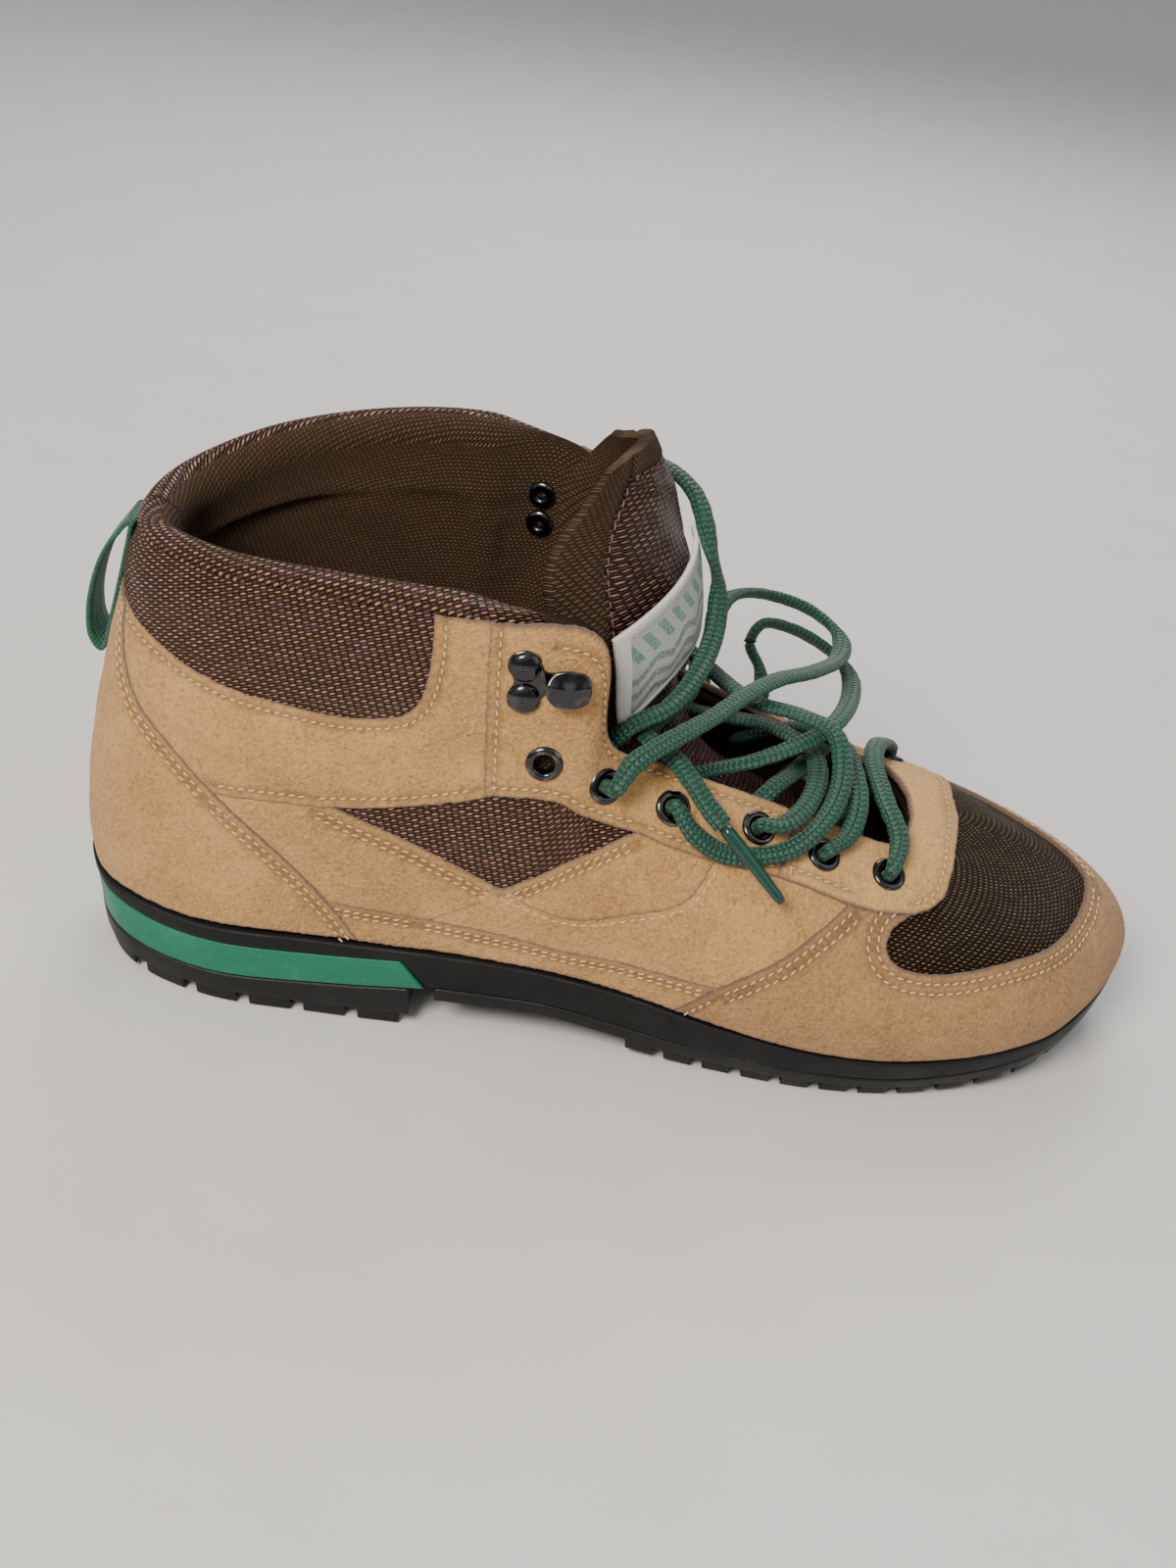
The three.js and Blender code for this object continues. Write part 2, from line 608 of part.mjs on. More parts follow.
function liningRing(u) {
  const share = collarShare(u);
  const outer = -suedeThickness - layerGap;
  const ring = [];
  for (const v of [0.03, 0.16, 0.3, 0.45, 0.6, 0.75, 0.88, 0.975]) ring.push(skin(u, v, outer));
  const rim = 0.975 + (0.02 * (1 - share));
  const depth = liningThickness + paddingAt(u, 1);
  const tip = collarRoll * share;
  ring.push(skin(u, rim, outer - depth * 0.1).add(new THREE.Vector3(0, 0, tip + 0.6 + 1.6 * share)));
  ring.push(skin(u, rim, outer - depth * 0.55).add(new THREE.Vector3(0, 0, tip + 1 + 2.2 * share)));
  ring.push(skin(u, rim, outer - depth * 0.95).add(new THREE.Vector3(0, 0, tip * 0.4 + 0.6)));
  for (const v of [0.95, 0.85, 0.72, 0.6, 0.45, 0.3, 0.16, 0.03]) {
    ring.push(skin(u, v, outer - liningThickness - paddingAt(u, v)));
  }
  return ring;
}

const liningRings = [];
for (let i = 0; i < LINING_RIBS; i += 1) liningRings.push(liningRing((i * RIB_COUNT) / LINING_RIBS));
addMesh('lining', cut(loft(liningRings, true), Object.keys(SIDES).flatMap(
  (side) => EYELETS.map(([, u, v]) => eyeletHole(sideU(u, side), v)),
)), 'lining');

// ---------------------------------------------------------------- sole
const solePoints = 44;
const soleStep = 12;           // length of the sole's facets
const soleLedge = 1.4;         // midsole beyond the upper's lower edge
const taperHeel = 0.06;
const taperBall = 0.13;
const wedgeFront = 95 * scaleX;
const wedgeSlant = 6;
const breast = 97 * scaleX;    // front face of the heel block
const waistStart = 104 * scaleX;

const feather = [];
for (let i = 0; i < solePoints; i += 1) {
  const p = skinPoint((i * RIB_COUNT) / solePoints, 0);
  feather.push(new THREE.Vector2(p.x, p.y));
}
if (THREE.ShapeUtils.area(feather) < 0) feather.reverse();

// the sole's side draws in towards the ground, more at the ball than at the heel
function soleWall(x, y, z) {
  const share = smooth(110 * scaleX, 190 * scaleX, x);
  const drop = THREE.MathUtils.clamp(1 - z / seatHeight(x), 0, 1);
  const narrow = 1 - drop * (taperHeel + (taperBall - taperHeel) * share);
  const middle = 150 * scaleX;
  return new THREE.Vector3(middle + (x - middle) * (1 - 0.025 * drop), y * narrow, z);
}

const soleOutline = inset(feather, -soleLedge);
const lift = lugHeight + outsoleThickness + fitGap;

const stepLines = [wedgeFront + 2 * fitGap, wedgeFront + wedgeSlant + 2 * fitGap];

// over the wedge, then a slanted step down in front of it
function midsoleBottom(x) {
  const behindStep = wedgeTopHeight(Math.min(x, wedgeFront)) + fitGap;
  const aheadOfStep = Math.max(0, soleGround(Math.max(x, stepLines[1]))) + lift;
  const share = THREE.MathUtils.clamp((x - stepLines[0]) / (stepLines[1] - stepLines[0]), 0, 1);
  return behindStep + (aheadOfStep - behindStep) * share;
}

const shank = { from: 84 * scaleX, to: 172 * scaleX, half: 8, thick: 1.4 };

// a flat bar under the insole board, or the pocket it lies in
function shankBody(grow, above) {
  const { from, to, half, thick } = shank;
  const [x0, x1, y1] = [from - grow, to + grow, half + grow];
  const outline = [[x0, -y1], [x1, -y1], [x1, y1], [x0, y1]].map(([x, y]) => new THREE.Vector2(x, y));
  return sheet(strips(outline, soleStep), FAR,
    (x, y) => new THREE.Vector3(x, y, seatHeight(x) - 2 * fitGap + above),
    (x, y) => new THREE.Vector3(x, y, seatHeight(x) - 2 * fitGap - thick - grow));
}

// a layer of the sole between two heights, with the sole's leaning side
function soleLayer(tiles, top, bottom) {
  return sheet(tiles, FAR, (x, y) => soleWall(x, y, top(x)), (x, y) => soleWall(x, y, bottom(x)));
}

const pocketRise = 8;          // the shank's pocket runs out through the midsole's top
const midsoleTop = (x) => seatHeight(x) - fitGap;
const midsole = soleLayer(strips(soleOutline, soleStep, stepLines), midsoleTop, midsoleBottom);
addMesh('midsole', cut(midsole, [shankBody(fitGap, pocketRise)]), 'foam');
addMesh('shank', shankBody(0, 0), 'steel');

// the wedge's front face leans: its lower edge runs further forward
function slantedFoot(x, y) {
  const ahead = x + wedgeSlant * Math.max(0, x / wedgeFront) ** 6;
  return soleWall(ahead, y, wedgeBottomHeight(ahead));
}

addMesh('heel_wedge', sheet(strips(stretch(inset(soleOutline, wedgeRecess), -FAR, wedgeFront), soleStep), FAR,
  (x, y) => soleWall(x, y, wedgeTopHeight(x)), slantedFoot), 'green');

const treadGroove = 5;         // between the two rows of blocks
const treadInset = 0.8;        // blocks inside the sole's edge
const treadBite = 0.6;         // blocks run this far up into the base

// blocks of tread under a base sheet, in two rows either side of a middle groove
function tread(outline, from, to, pitch, length, base, ground) {
  const blocks = [];
  for (let x = from; x + length <= to; x += pitch) {
    const strip = stretch(inset(outline, treadInset), x, x + length);
    for (const half of [1, -1]) {
      const turned = strip.map((p) => new THREE.Vector2(p.y * half, p.x));
      const tile = stretch(turned, treadGroove / 2, FAR).map((p) => new THREE.Vector2(p.y, p.x * half));
      if (tile.length < 3) continue;
      if (THREE.ShapeUtils.area(tile) < 0) tile.reverse();
      blocks.push(soleLayer([tile], (px) => base(px) + treadBite, ground));
    }
  }
  return blocks;
}

const outsoleInset = 0.2;
const heelFloor = (x) => Math.max(0, heelGround(x));
const heelBase = (x) => heelFloor(x) + lugHeight;
const heelOutline = stretch(inset(soleOutline, outsoleInset), -FAR, breast);
const heelPlate = soleLayer(strips(heelOutline, soleStep), (x) => wedgeBottomHeight(x) - fitGap, heelBase);
const heelBlocks = tread(
  heelOutline, 6 * scaleX, breast + fitGap, 15.3 * scaleX, 11.5 * scaleX, heelBase, heelFloor,
);
addMesh('heel_outsole', join([heelPlate, ...heelBlocks]), 'rubber');

const foreFloor = (x) => Math.max(0, soleGround(x));
const foreBase = (x) => foreFloor(x) + lugHeight;
const foreOutline = stretch(inset(soleOutline, outsoleInset), waistStart, FAR);
const forePlate = soleLayer(strips(foreOutline, soleStep), (x) => foreFloor(x) + lift - fitGap, foreBase);
const foreBlocks = tread(
  foreOutline, 158 * scaleX, 297 * scaleX, 11 * scaleX, 7.5 * scaleX, foreBase, foreFloor,
);
addMesh('fore_outsole', join([forePlate, ...foreBlocks]), 'rubber');

// ---------------------------------------------------------------- inside the boot
const innerOutline = inset(feather, suedeThickness + layerGap + liningThickness + 1.4);
addMesh('insole_board', sheet(strips(innerOutline, soleStep), FAR,
  (x, y) => new THREE.Vector3(x, y, seatHeight(x) + fitGap + insoleThickness),
  (x, y) => new THREE.Vector3(x, y, seatHeight(x) + fitGap)), 'board');
const footbedBase = insoleThickness + 2.4 * fitGap;
addMesh('footbed', sheet(strips(inset(innerOutline, 0.9), soleStep), FAR,
  (x, y) => new THREE.Vector3(x, y, seatHeight(x) + footbedBase + footbedThickness),
  (x, y) => new THREE.Vector3(x, y, seatHeight(x) + footbedBase)), 'lining');

// ---------------------------------------------------------------- eyelets and lace hooks
for (const side of Object.keys(SIDES)) {
  for (const [number, u, v] of EYELETS) {
    addMesh(`eyelet_${side}_${number}`, eyelet(sideU(u, side), v), 'metal');
  }
}

const hookPlace = { u: 4.42, v: 0.845 };
const hookLobe = 4.1;          // radius of the base plate's round ends
const hookSpread = 4.1;        // from the plate's middle to each rivet
const hookPlate = 1;
const hookReach = 11;          // from the rivets' line to the head's middle
const hookHead = 4.6;
const hookStand = 3.4;         // clear height under the head, for the lace

function disc(radius, height, x, y, z) {
  const body = new THREE.CylinderGeometry(radius, radius, height, 12);
  body.rotateX(Math.PI / 2);
  return body.translate(x, y, z + height / 2);
}

function hook(side) {
  const base = 0.5;
  const arm = new THREE.BoxGeometry(hookReach + 4, 5, hookPlate);
  arm.translate((hookReach + 4) / 2, 0, base + hookPlate / 2);
  const waist = new THREE.BoxGeometry(5, hookSpread * 2, hookPlate).translate(0, 0, base + hookPlate / 2);
  const riser = new THREE.BoxGeometry(1.4, 5, hookStand + 2 * hookPlate);
  riser.translate(hookReach + 3.4, 0, base + (hookStand + 2 * hookPlate) / 2);
  const head = disc(hookHead, 1.3, hookReach, 0, base + hookPlate + hookStand);
  const lobes = [1, -1].map((end) => disc(hookLobe, hookPlate, 0, hookSpread * end, base));
  return join([...lobes, waist, arm, riser, head]).applyMatrix4(hookFrame(side));
}

// the hook's arm points forward on both sides of the boot
function hookFrame(side) {
  const frame = frameAt(sideU(hookPlace.u, side), hookPlace.v, 0);
  return SIDES[side] > 0 ? frame : frame.multiply(new THREE.Matrix4().makeRotationZ(Math.PI));
}

function hookRivet(side, end) {
  const profileOfHead = [[0, 0], [2.2, 0], [3, 0.5], [2.6, 1.1], [1.4, 1.5], [0, 1.6]];
  const dome = new THREE.LatheGeometry(profileOfHead.map(([r, z]) => new THREE.Vector2(r, z)), 9);
  dome.rotateX(Math.PI / 2);
  dome.translate(0, hookSpread * end, 0.5 + hookPlate + fitGap);
  return welded(dome.applyMatrix4(hookFrame(side)));
}

for (const side of Object.keys(SIDES)) {
  addMesh(`hook_${side}`, hook(side), 'metal');
  addMesh(`hook_rivet_${side}_upper`, hookRivet(side, SIDES[side]), 'metal');
  addMesh(`hook_rivet_${side}_lower`, hookRivet(side, -SIDES[side]), 'metal');
}

// ---------------------------------------------------------------- heel pull tab: a webbing loop
const tabLine = [[0.985, 2.3], [0.955, 3.6], [0.91, 5.4], [0.86, 6.8], [0.8, 7.5], [0.74, 7.5],
  [0.69, 6.9],
  [0.645, 5.6], [0.62, 3.8], [0.61, 2.2]];
const tabInnerLine = [0.62, 0.66, 0.7, 0.75, 0.8, 0.86, 0.91, 0.955, 0.985];

function tabPoint(v, offset) {
  const p = skin(0, v, offset);
  return new THREE.Vector2(p.x, p.z);
}

const tabShape = new THREE.Shape([
  ...tabLine.map(([v, h]) => tabPoint(v, h + tabThickness / 2)),
  ...tabInnerLine.map((v) => tabPoint(v, fitGap)),
]);
tabShape.holes.push(new THREE.Path([
  ...tabLine.slice(1, -1).map(([v, h]) => tabPoint(v + (v < 0.66 ? 0.018 : 0), h - tabThickness / 2)),
  ...tabInnerLine.slice(2, -1).map((v) => tabPoint(v, fitGap + tabThickness)),
]));
const tabBody = new THREE.ExtrudeGeometry(tabShape, { depth: tabWidth, bevelEnabled: false, steps: 1 });
tabBody.rotateX(Math.PI / 2);
tabBody.translate(0, tabWidth / 2, 0);
addMesh('pull_tab', welded(tabBody), 'webbing');

// -------------------------------------------------------- tongue, on a hinge line at the throat's front
// Cross-sections from the throat upwards: middle of the outer face, half widths to the outer and inner
// sides, and how far the side edges sweep back and down.
const TONGUE = [
  { middle: [227, 0, 49], outer: 15, inner: 15, sweep: [0, -3] },
  { middle: [206, 1, 57], outer: 20, inner: 20, sweep: [-1, -6] },
  { middle: [186, 2, 66], outer: 24, inner: 23, sweep: [-5, -9] },
  { middle: [169, 4, 76.5], outer: 27, inner: 22, sweep: [-12, -12] },
  { middle: [159, 8, 94], outer: 30, inner: 16, sweep: [-22, -11] },
  { middle: [161, 11, 113], outer: 36, inner: 12, sweep: [-32, -5] },
  { middle: [156, 12, 134], outer: 38, inner: 12, sweep: [-32, 2] },
  { middle: [150, 9, 151], outer: 25, inner: 12, sweep: [-18, 0] },
  { middle: [145, 5, 163], outer: 10, inner: 8, sweep: [-4, -1] },
];
const tonguePlaces = TONGUE.map(({ middle, outer, inner, sweep }) => ({
  middle: new THREE.Vector3(middle[0] * scaleX, middle[1] * scaleY, middle[2] * scaleZ),
  outer: outer * scaleY,
  inner: inner * scaleY,
  sweep: new THREE.Vector2(sweep[0] * scaleX, sweep[1] * scaleZ),
}));

// s counts sections from the throat; t is -1 at the outer side edge and 1 at the inner
function tongueSkin(s, t) {
  const i = THREE.MathUtils.clamp(Math.floor(s), 0, TONGUE.length - 2);
  const near = [-1, 0, 1, 2].map((j) => tonguePlaces[THREE.MathUtils.clamp(i + j, 0, TONGUE.length - 1)]);
  const at = (pick) => spline1(s - i, ...near.map(pick));
  const bend = t * t;
  return new THREE.Vector3(
    at((n) => n.middle.x) + at((n) => n.sweep.x) * bend,
    at((n) => n.middle.y) + (t < 0 ? at((n) => n.outer) : at((n) => n.inner)) * t,
    at((n) => n.middle.z) + at((n) => n.sweep.y) * bend,
  );
}

function tongueNormal(s, t) {
  const e = 0.01;
  const ds = tongueSkin(s + e, t).sub(tongueSkin(s - e, t));
  const dt = tongueSkin(s, t + e).sub(tongueSkin(s, t - e));
  return dt.cross(ds).normalize();
}

function tongueAt(s, t, offset) {
  return tongueSkin(s, t).addScaledVector(tongueNormal(s, t), offset);
}

// the tongue's back: its direction turns less than the face's, so that the fold doesn't cross itself
const backTurn = 0.35;

function tongueBack(s, t) {
  return tongueSkin(s, t).addScaledVector(tongueNormal(s, t * backTurn), -tongueThickness(s, t));
}

function tongueThickness(s, t) {
  const padded = 2.4 + (tongueFoam - 2.4) * smooth(1.5, 4, s) * (1 - smooth(6.8, 8, s) * 0.5);
  return padded * (1 - 0.65 * t ** 4);
}

function tongueRing(s) {
  const ring = [];
  const stations = [-1, -0.8, -0.55, -0.27, 0, 0.3, 0.65, 1];
  for (const t of stations) ring.push(tongueSkin(s, t));
  for (const t of back(stations)) ring.push(tongueBack(s, t));
  return ring;
}

const tongueStart = 0.45;
const tongueRings = [];
for (let s = tongueStart; s < 7.95; s += 0.55) tongueRings.push(tongueRing(s));
tongueRings.push(tongueRing(TONGUE.length - 1));
addMesh('tongue', loft(tongueRings, false), 'nylon');

// the fixed strip that the tongue is sewn to, under the front of the throat
const rootRings = [0.02, 0.2, tongueStart - 0.05].map((s) => tongueRing(s));
addMesh('tongue_root', loft(rootRings, false), 'nylon');

// the woven patch on the tongue's face, turned a little in its plane
const patch = { s: [4.48, 5.65], t: [-0.8, 0.1], lean: 0.75, thickness: 0.8, lift: 3 };
const patchRows = [0, 0.25, 0.5, 0.75, 1];
addMesh('tongue_patch', loft(patchRows.map((row) => {
  const span = [0, 0.2, 0.4, 0.6, 0.8, 1];
  const place = (share, offset) => {
    const s = patch.s[0] + (patch.s[1] - patch.s[0]) * row + patch.lean * (share - 0.5);
    return tongueAt(s, patch.t[0] + (patch.t[1] - patch.t[0]) * share, offset);
  };
  const top = span.map((share) => place(share, patch.lift + patch.thickness));
  return top.concat(back(span).map((share) => place(share, patch.lift)));
}), false), 'label');

// ---------------------------------------------------------------- lace
// One lace: the held stretch is threaded through ten eyelets, and its two ends lie free.
function through(side, number, offsets) {
  const [, u, v] = EYELETS.find(([name]) => name === number);
  return offsets.map((offset) => skin(sideU(u, side), v, offset).toArray());
}

function under(side, number, v) {
  const [, u] = EYELETS.find(([name]) => name === number);
  return [skin(sideU(u, side), v, -laceDepth).toArray()];
}

const laceDepth = 9.5;         // the lace's depth under the eyestay between two eyelets
const laceProud = 3.4;         // the lace's height above the suede where it turns over an eyelet
const DOWN = [laceProud, -1.5, -6.2, -9];
const UP = back(DOWN);

const heldLace = [
  ...through('medial', '4', DOWN), ...under('medial', '4', 0.93), [171, 16, 79], [186, 12, 80],
  [197, 1, 80.5],
  [199, -12, 80], [195, -25, 77.5], [189, -31, 75.5],
  ...through('lateral', '3', DOWN), ...under('lateral', '3', 0.94), [187, -14, 75], [195, -2, 75.5],
  [203, 12, 76],
  [206, 23, 75.5],
  ...through('medial', '2', DOWN), ...under('medial', '2', 0.95), [211, 5, 60.5],
  ...under('lateral', '1', 0.95),
  ...through('lateral', '1', UP), [222, -21, 69], [218, -10, 74.5], [216, 5, 76.5], [219, 18, 75],
  ...through('medial', '1', DOWN), ...under('medial', '1', 0.95), [210, -1, 66],
  ...under('lateral', '2', 0.95),
  ...through('lateral', '2', UP), [207.5, -25, 70.5], [210, -18, 75.5], [209, -8, 80],
  [206, 3, 81.5], [196, 13, 80],
  ...under('medial', '3', 0.93),
  ...through('medial', '3', UP), [185, 35, 84], [180, 41, 92], [190, 44, 92], [203, 45, 89],
  [209.5, 40, 85.5],
  [210, 27, 85], [203, 4, 87], [193, -8, 86.5], [181, -13.5, 83], [168.5, -13, 77.5],
  ...under('lateral', '4', 0.93),
  ...through('lateral', '4', UP), [166, -37.5, 75], [174.6, -37.5, 69.5], [183, -36.5, 69],
  [192.4, -33.5, 70.5],
  [200, -27, 75], [204.5, -17, 82], [202, -6, 90], [193, -2, 92], [180, 3, 92], [165, 20, 94],
  [152, 34, 98],
  ...through('medial', '5', DOWN), [139.5, 28, 95], [138.5, 28, 106], [137, 29.5, 118], [137, 31.5, 128],
  [140.5, 33.5, 138], [147, 31, 144], [157.5, 22, 141], [163.4, 12, 130], [166.8, 12, 120],
  [167.3, 5.8, 110],
  [164, -5, 103], [157, -16, 97.5], [148.5, -20, 93.5], [142.5, -22, 87],
  ...through('lateral', '5', UP),
];
const nearEnd = [
  ...through('lateral', '5', [laceProud + fitGap, 5.6]), [149, -37, 92], [154, -32, 94], [161, -25, 95.5],
  [169, -16, 96.5], [177, -6, 98], [186, 5, 98], [197, 17, 95.5], [205.5, 32, 93], [206, 44, 94],
  [197, 50, 98],
  [183, 48, 102], [173.5, 39, 104.5], [169, 26, 105],
  [168, 15, 102], [164.5, 4.5, 97.5], [160.5, -6, 94], [155.5, -11.5, 91.5], [152, -17, 90],
  [154, -21.5, 90],
  [159.5, -26, 89], [164.8, -32, 86], [169, -35.5, 82], [173.6, -38, 78],
];
const farEnd = [
  ...through('medial', '4', [laceProud + fitGap, 5.8]), [164, 43, 83], [168, 49, 76], [171, 52.5, 66],
  [174, 55, 52], [177, 55.5, 38], [181, 55.5, 24], [186, 56.5, 11], [194, 59, 3.4], [206, 61, 2],
  [220, 61.5, 2],
  [234, 60, 2], [244, 57, 2],
];
const lacePoints = (list) => list.map((p) => (p.isVector3 ? p : new THREE.Vector3(...p)));

// a smooth path through chosen points, read at stations no further apart than the step
class LacePath extends THREE.Curve {
  constructor(points, step) {
    super();
    this.smooth = new THREE.CatmullRomCurve3(lacePoints(points), false, 'centripetal');
    const spans = points.length - 1;
    this.places = [0];
    lacePoints(points).slice(1).forEach((p, i) => {
      const pieces = Math.max(1, Math.round(p.distanceTo(this.smooth.points[i]) / step));
      for (let k = 1; k <= pieces; k += 1) this.places.push((i + k / pieces) / spans);
    });
  }

  get steps() {
    return this.places.length - 1;
  }

  getPointAt(share, target = new THREE.Vector3()) {
    return this.smooth.getPoint(this.places[Math.round(share * this.steps)], target);
  }

  getTangentAt(share, target = new THREE.Vector3()) {
    const i = Math.round(share * this.steps);
    const ahead = this.smooth.getPoint(this.places[Math.min(i + 1, this.steps)]);
    const before = this.smooth.getPoint(this.places[Math.max(i - 1, 0)]);
    return target.copy(ahead).sub(before).normalize();
  }
}

function cord(points, step) {
  const path = new LacePath(points, step);
  const section = new THREE.Shape();
  for (let k = 0; k < 8; k += 1) {
    const angle = (k * Math.PI) / 4;
    const [x, y] = [laceRadius * Math.cos(angle), laceRadius * Math.sin(angle)];
    if (k === 0) section.moveTo(x, y);
    else section.lineTo(x, y);
  }
  const settings = { steps: path.steps, bevelEnabled: false, extrudePath: path };
  return welded(new THREE.ExtrudeGeometry(section, settings));
}

// the hard tip on each end: a tapered sleeve in line with the lace
function aglet(points, length) {
  const [before, end] = lacePoints(points).slice(-2);
  const along = end.clone().sub(before).normalize();
  const half = length / 2;
  const lathe = [[0, -half], [1.7, -half], [1.8, -half * 0.5], [1.3, half], [0, half]];
  const tip = new THREE.LatheGeometry(lathe.map(([r, y]) => new THREE.Vector2(r, y)), 10);
  tip.applyQuaternion(new THREE.Quaternion().setFromUnitVectors(new THREE.Vector3(0, 1, 0), along));
  const middle = end.clone().addScaledVector(along, half + fitGap);
  return welded(tip.translate(middle.x, middle.y, middle.z));
}

const laceStep = 10.5;
const agletLength = 24;
addMesh('lace_threaded', cord(heldLace, laceStep), 'lace');
addMesh('lace_end_lateral', cord(nearEnd, laceStep), 'lace');
addMesh('lace_end_medial', cord(farEnd, laceStep), 'lace');
addMesh('aglet_lateral', aglet(nearEnd, agletLength), 'plastic');
addMesh('aglet_medial', aglet(farEnd, agletLength), 'plastic');

export default group;
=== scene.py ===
import math

import bpy
import numpy as np
from mathutils import Matrix, Vector, geometry, kdtree


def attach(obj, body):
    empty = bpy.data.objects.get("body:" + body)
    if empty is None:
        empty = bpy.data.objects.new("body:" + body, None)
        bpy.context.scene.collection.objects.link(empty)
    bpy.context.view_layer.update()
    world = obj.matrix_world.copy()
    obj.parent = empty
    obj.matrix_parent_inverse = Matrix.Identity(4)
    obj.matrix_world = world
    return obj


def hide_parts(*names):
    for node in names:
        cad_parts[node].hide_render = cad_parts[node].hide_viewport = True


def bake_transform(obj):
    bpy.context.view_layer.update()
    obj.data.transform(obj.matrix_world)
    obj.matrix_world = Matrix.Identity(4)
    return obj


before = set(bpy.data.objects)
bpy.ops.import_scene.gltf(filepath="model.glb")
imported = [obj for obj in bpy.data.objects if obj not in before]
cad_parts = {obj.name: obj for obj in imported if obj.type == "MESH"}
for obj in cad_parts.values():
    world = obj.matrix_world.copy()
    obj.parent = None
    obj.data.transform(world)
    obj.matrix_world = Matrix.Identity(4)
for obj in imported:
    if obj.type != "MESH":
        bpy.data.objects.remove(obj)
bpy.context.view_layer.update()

MM = 0.001
ORIGIN = np.array([150.5, -0.8, 0.0])  # from the heel's back, on the last's axis, to the frame's origin


def to_frame(points):
    """Boot coordinates (millimetres from the heel's back) to the frame, in metres."""
    return (np.asarray(points, float) - ORIGIN) * MM


# ---------------------------------------------------------------- camera
AZIMUTH, ELEVATION, ROLL = (math.radians(a) for a in (-1.351, 32.185, 7.472))
CAMERA_TARGET = np.array([140.3, 34.4, 40.0])
CAMERA_DISTANCE = 523.4
LENS, SENSOR = 40.48, 36.0


def make_camera():
    sin, cos = math.sin, math.cos
    ahead = np.array([-sin(AZIMUTH) * cos(ELEVATION), cos(AZIMUTH) * cos(ELEVATION), -sin(ELEVATION)])
    level = np.array([cos(AZIMUTH), sin(AZIMUTH), 0.0])
    above = np.cross(level, ahead)
    right = level * cos(ROLL) + above * sin(ROLL)
    up = above * cos(ROLL) - level * sin(ROLL)
    data = bpy.data.cameras.new("camera")
    data.lens, data.sensor_width = LENS, SENSOR
    data.clip_start, data.clip_end = 0.02, 20
    camera = bpy.data.objects.new("camera", data)
    bpy.context.scene.collection.objects.link(camera)
    place = to_frame(CAMERA_TARGET - ahead * CAMERA_DISTANCE)
    turn = Matrix([[right[i], up[i], -ahead[i]] for i in range(3)]).to_4x4()
    camera.matrix_world = Matrix.Translation(Vector(place)) @ turn
    bpy.context.scene.camera = camera


make_camera()


# ---------------------------------------------------------------- the boot's surface, as in the CAD source
# Ribs from the heel's back along the outer side to the toe and back along the inner side; each is a
# cubic Bezier of (x, y, z) from the sole edge, whose height follows the seat, to the opening.
RIBS = [
    [[5, 0], [2, 0, 58], [13, 0, 98], [19, 0, 127]],
    [[14, -23], [10.5, -25.5, 58], [18, -20, 96], [25, -19.5, 128]],
    [[40, -35.5], [38, -38, 58], [43, -34, 98], [46, -32, 127.5]],
    [[72, -37.5], [71, -41, 60], [75, -37, 98], [77, -36.5, 127]],
    [[102, -38], [101, -42, 60], [107, -38, 96], [109, -36.5, 126]],
    [[126, -38.5], [126, -44, 58], [130, -39, 95], [137.5, -33, 124]],
    [[139, -39.5], [139, -45.5, 55], [141, -40, 84], [142, -30, 95]],
    [[155, -41.5], [155, -47, 52], [155, -40, 78], [156, -24.5, 86]],
    [[181, -46], [181, -51.5, 46], [181, -40, 70], [180, -21, 78]],
    [[210, -49.5], [210, -55.5, 40], [208, -40, 61], [206, -18, 68.5]],
    [[241, -46], [244, -52, 37], [236, -34, 57], [221, -17, 64.5]],
    [[273, -31], [279, -36, 37], [258, -22, 57], [226, -9, 66]],
    [[296, 3], [303, 4, 39], [273, 2, 59], [227, -1, 66.5]],
    [[286, 27], [293, 31, 39], [265, 18, 61], [226, 7, 67.5]],
    [[259, 41], [263, 46, 39], [246, 31, 63], [221, 15, 68.5]],
    [[225, 46], [226, 52, 42], [215, 39, 66], [206, 18, 71.5]],
    [[188, 42.5], [188, 48, 47], [183, 39, 75], [180, 21.5, 80.5]],
    [[158, 34], [158, 41.5, 52], [155, 41, 82], [155, 25, 90]],
    [[141, 31.5], [141, 39, 56], [141, 44, 92], [141, 33, 102]],
    [[126, 29.5], [126, 37, 58], [131, 43, 100], [135, 40, 138]],
    [[100, 29.5], [100, 37, 60], [106, 45, 100], [107, 48, 142]],
    [[72, 31.5], [71, 37, 60], [75, 43, 100], [77, 46.5, 141]],
    [[40, 32], [38, 36, 60], [43, 39, 98], [46, 38, 136]],
    [[14, 22.5], [10.5, 25, 60], [18, 22, 97], [25, 20.5, 130]],
]
RIB_COUNT = len(RIBS)
RIB_SPAN, WALL_SPAN = 26.0, 88.0  # flat millimetres for one rib spacing, and from sole edge to opening


def spline1(t, a, b, c, d):
    """Catmull-Rom between b and c."""
    return 0.5 * (2 * b + (c - a) * t + (2 * a - 5 * b + 4 * c - d) * t**2 + (3 * b - a - 3 * c + d) * t**3)


def profile(points):
    """A height read from (x, z) pairs, smooth between them."""
    xs, zs = np.array(points, float).T

    def height(x):
        x = np.asarray(x, float)
        i = np.clip(np.searchsorted(xs, x, side="left") - 1, 0, len(xs) - 2)
        t = np.clip((x - xs[i]) / (xs[i + 1] - xs[i]), 0, 1)
        return spline1(t, zs[np.maximum(i - 1, 0)], zs[i], zs[i + 1], zs[np.minimum(i + 2, len(xs) - 1)])

    return height


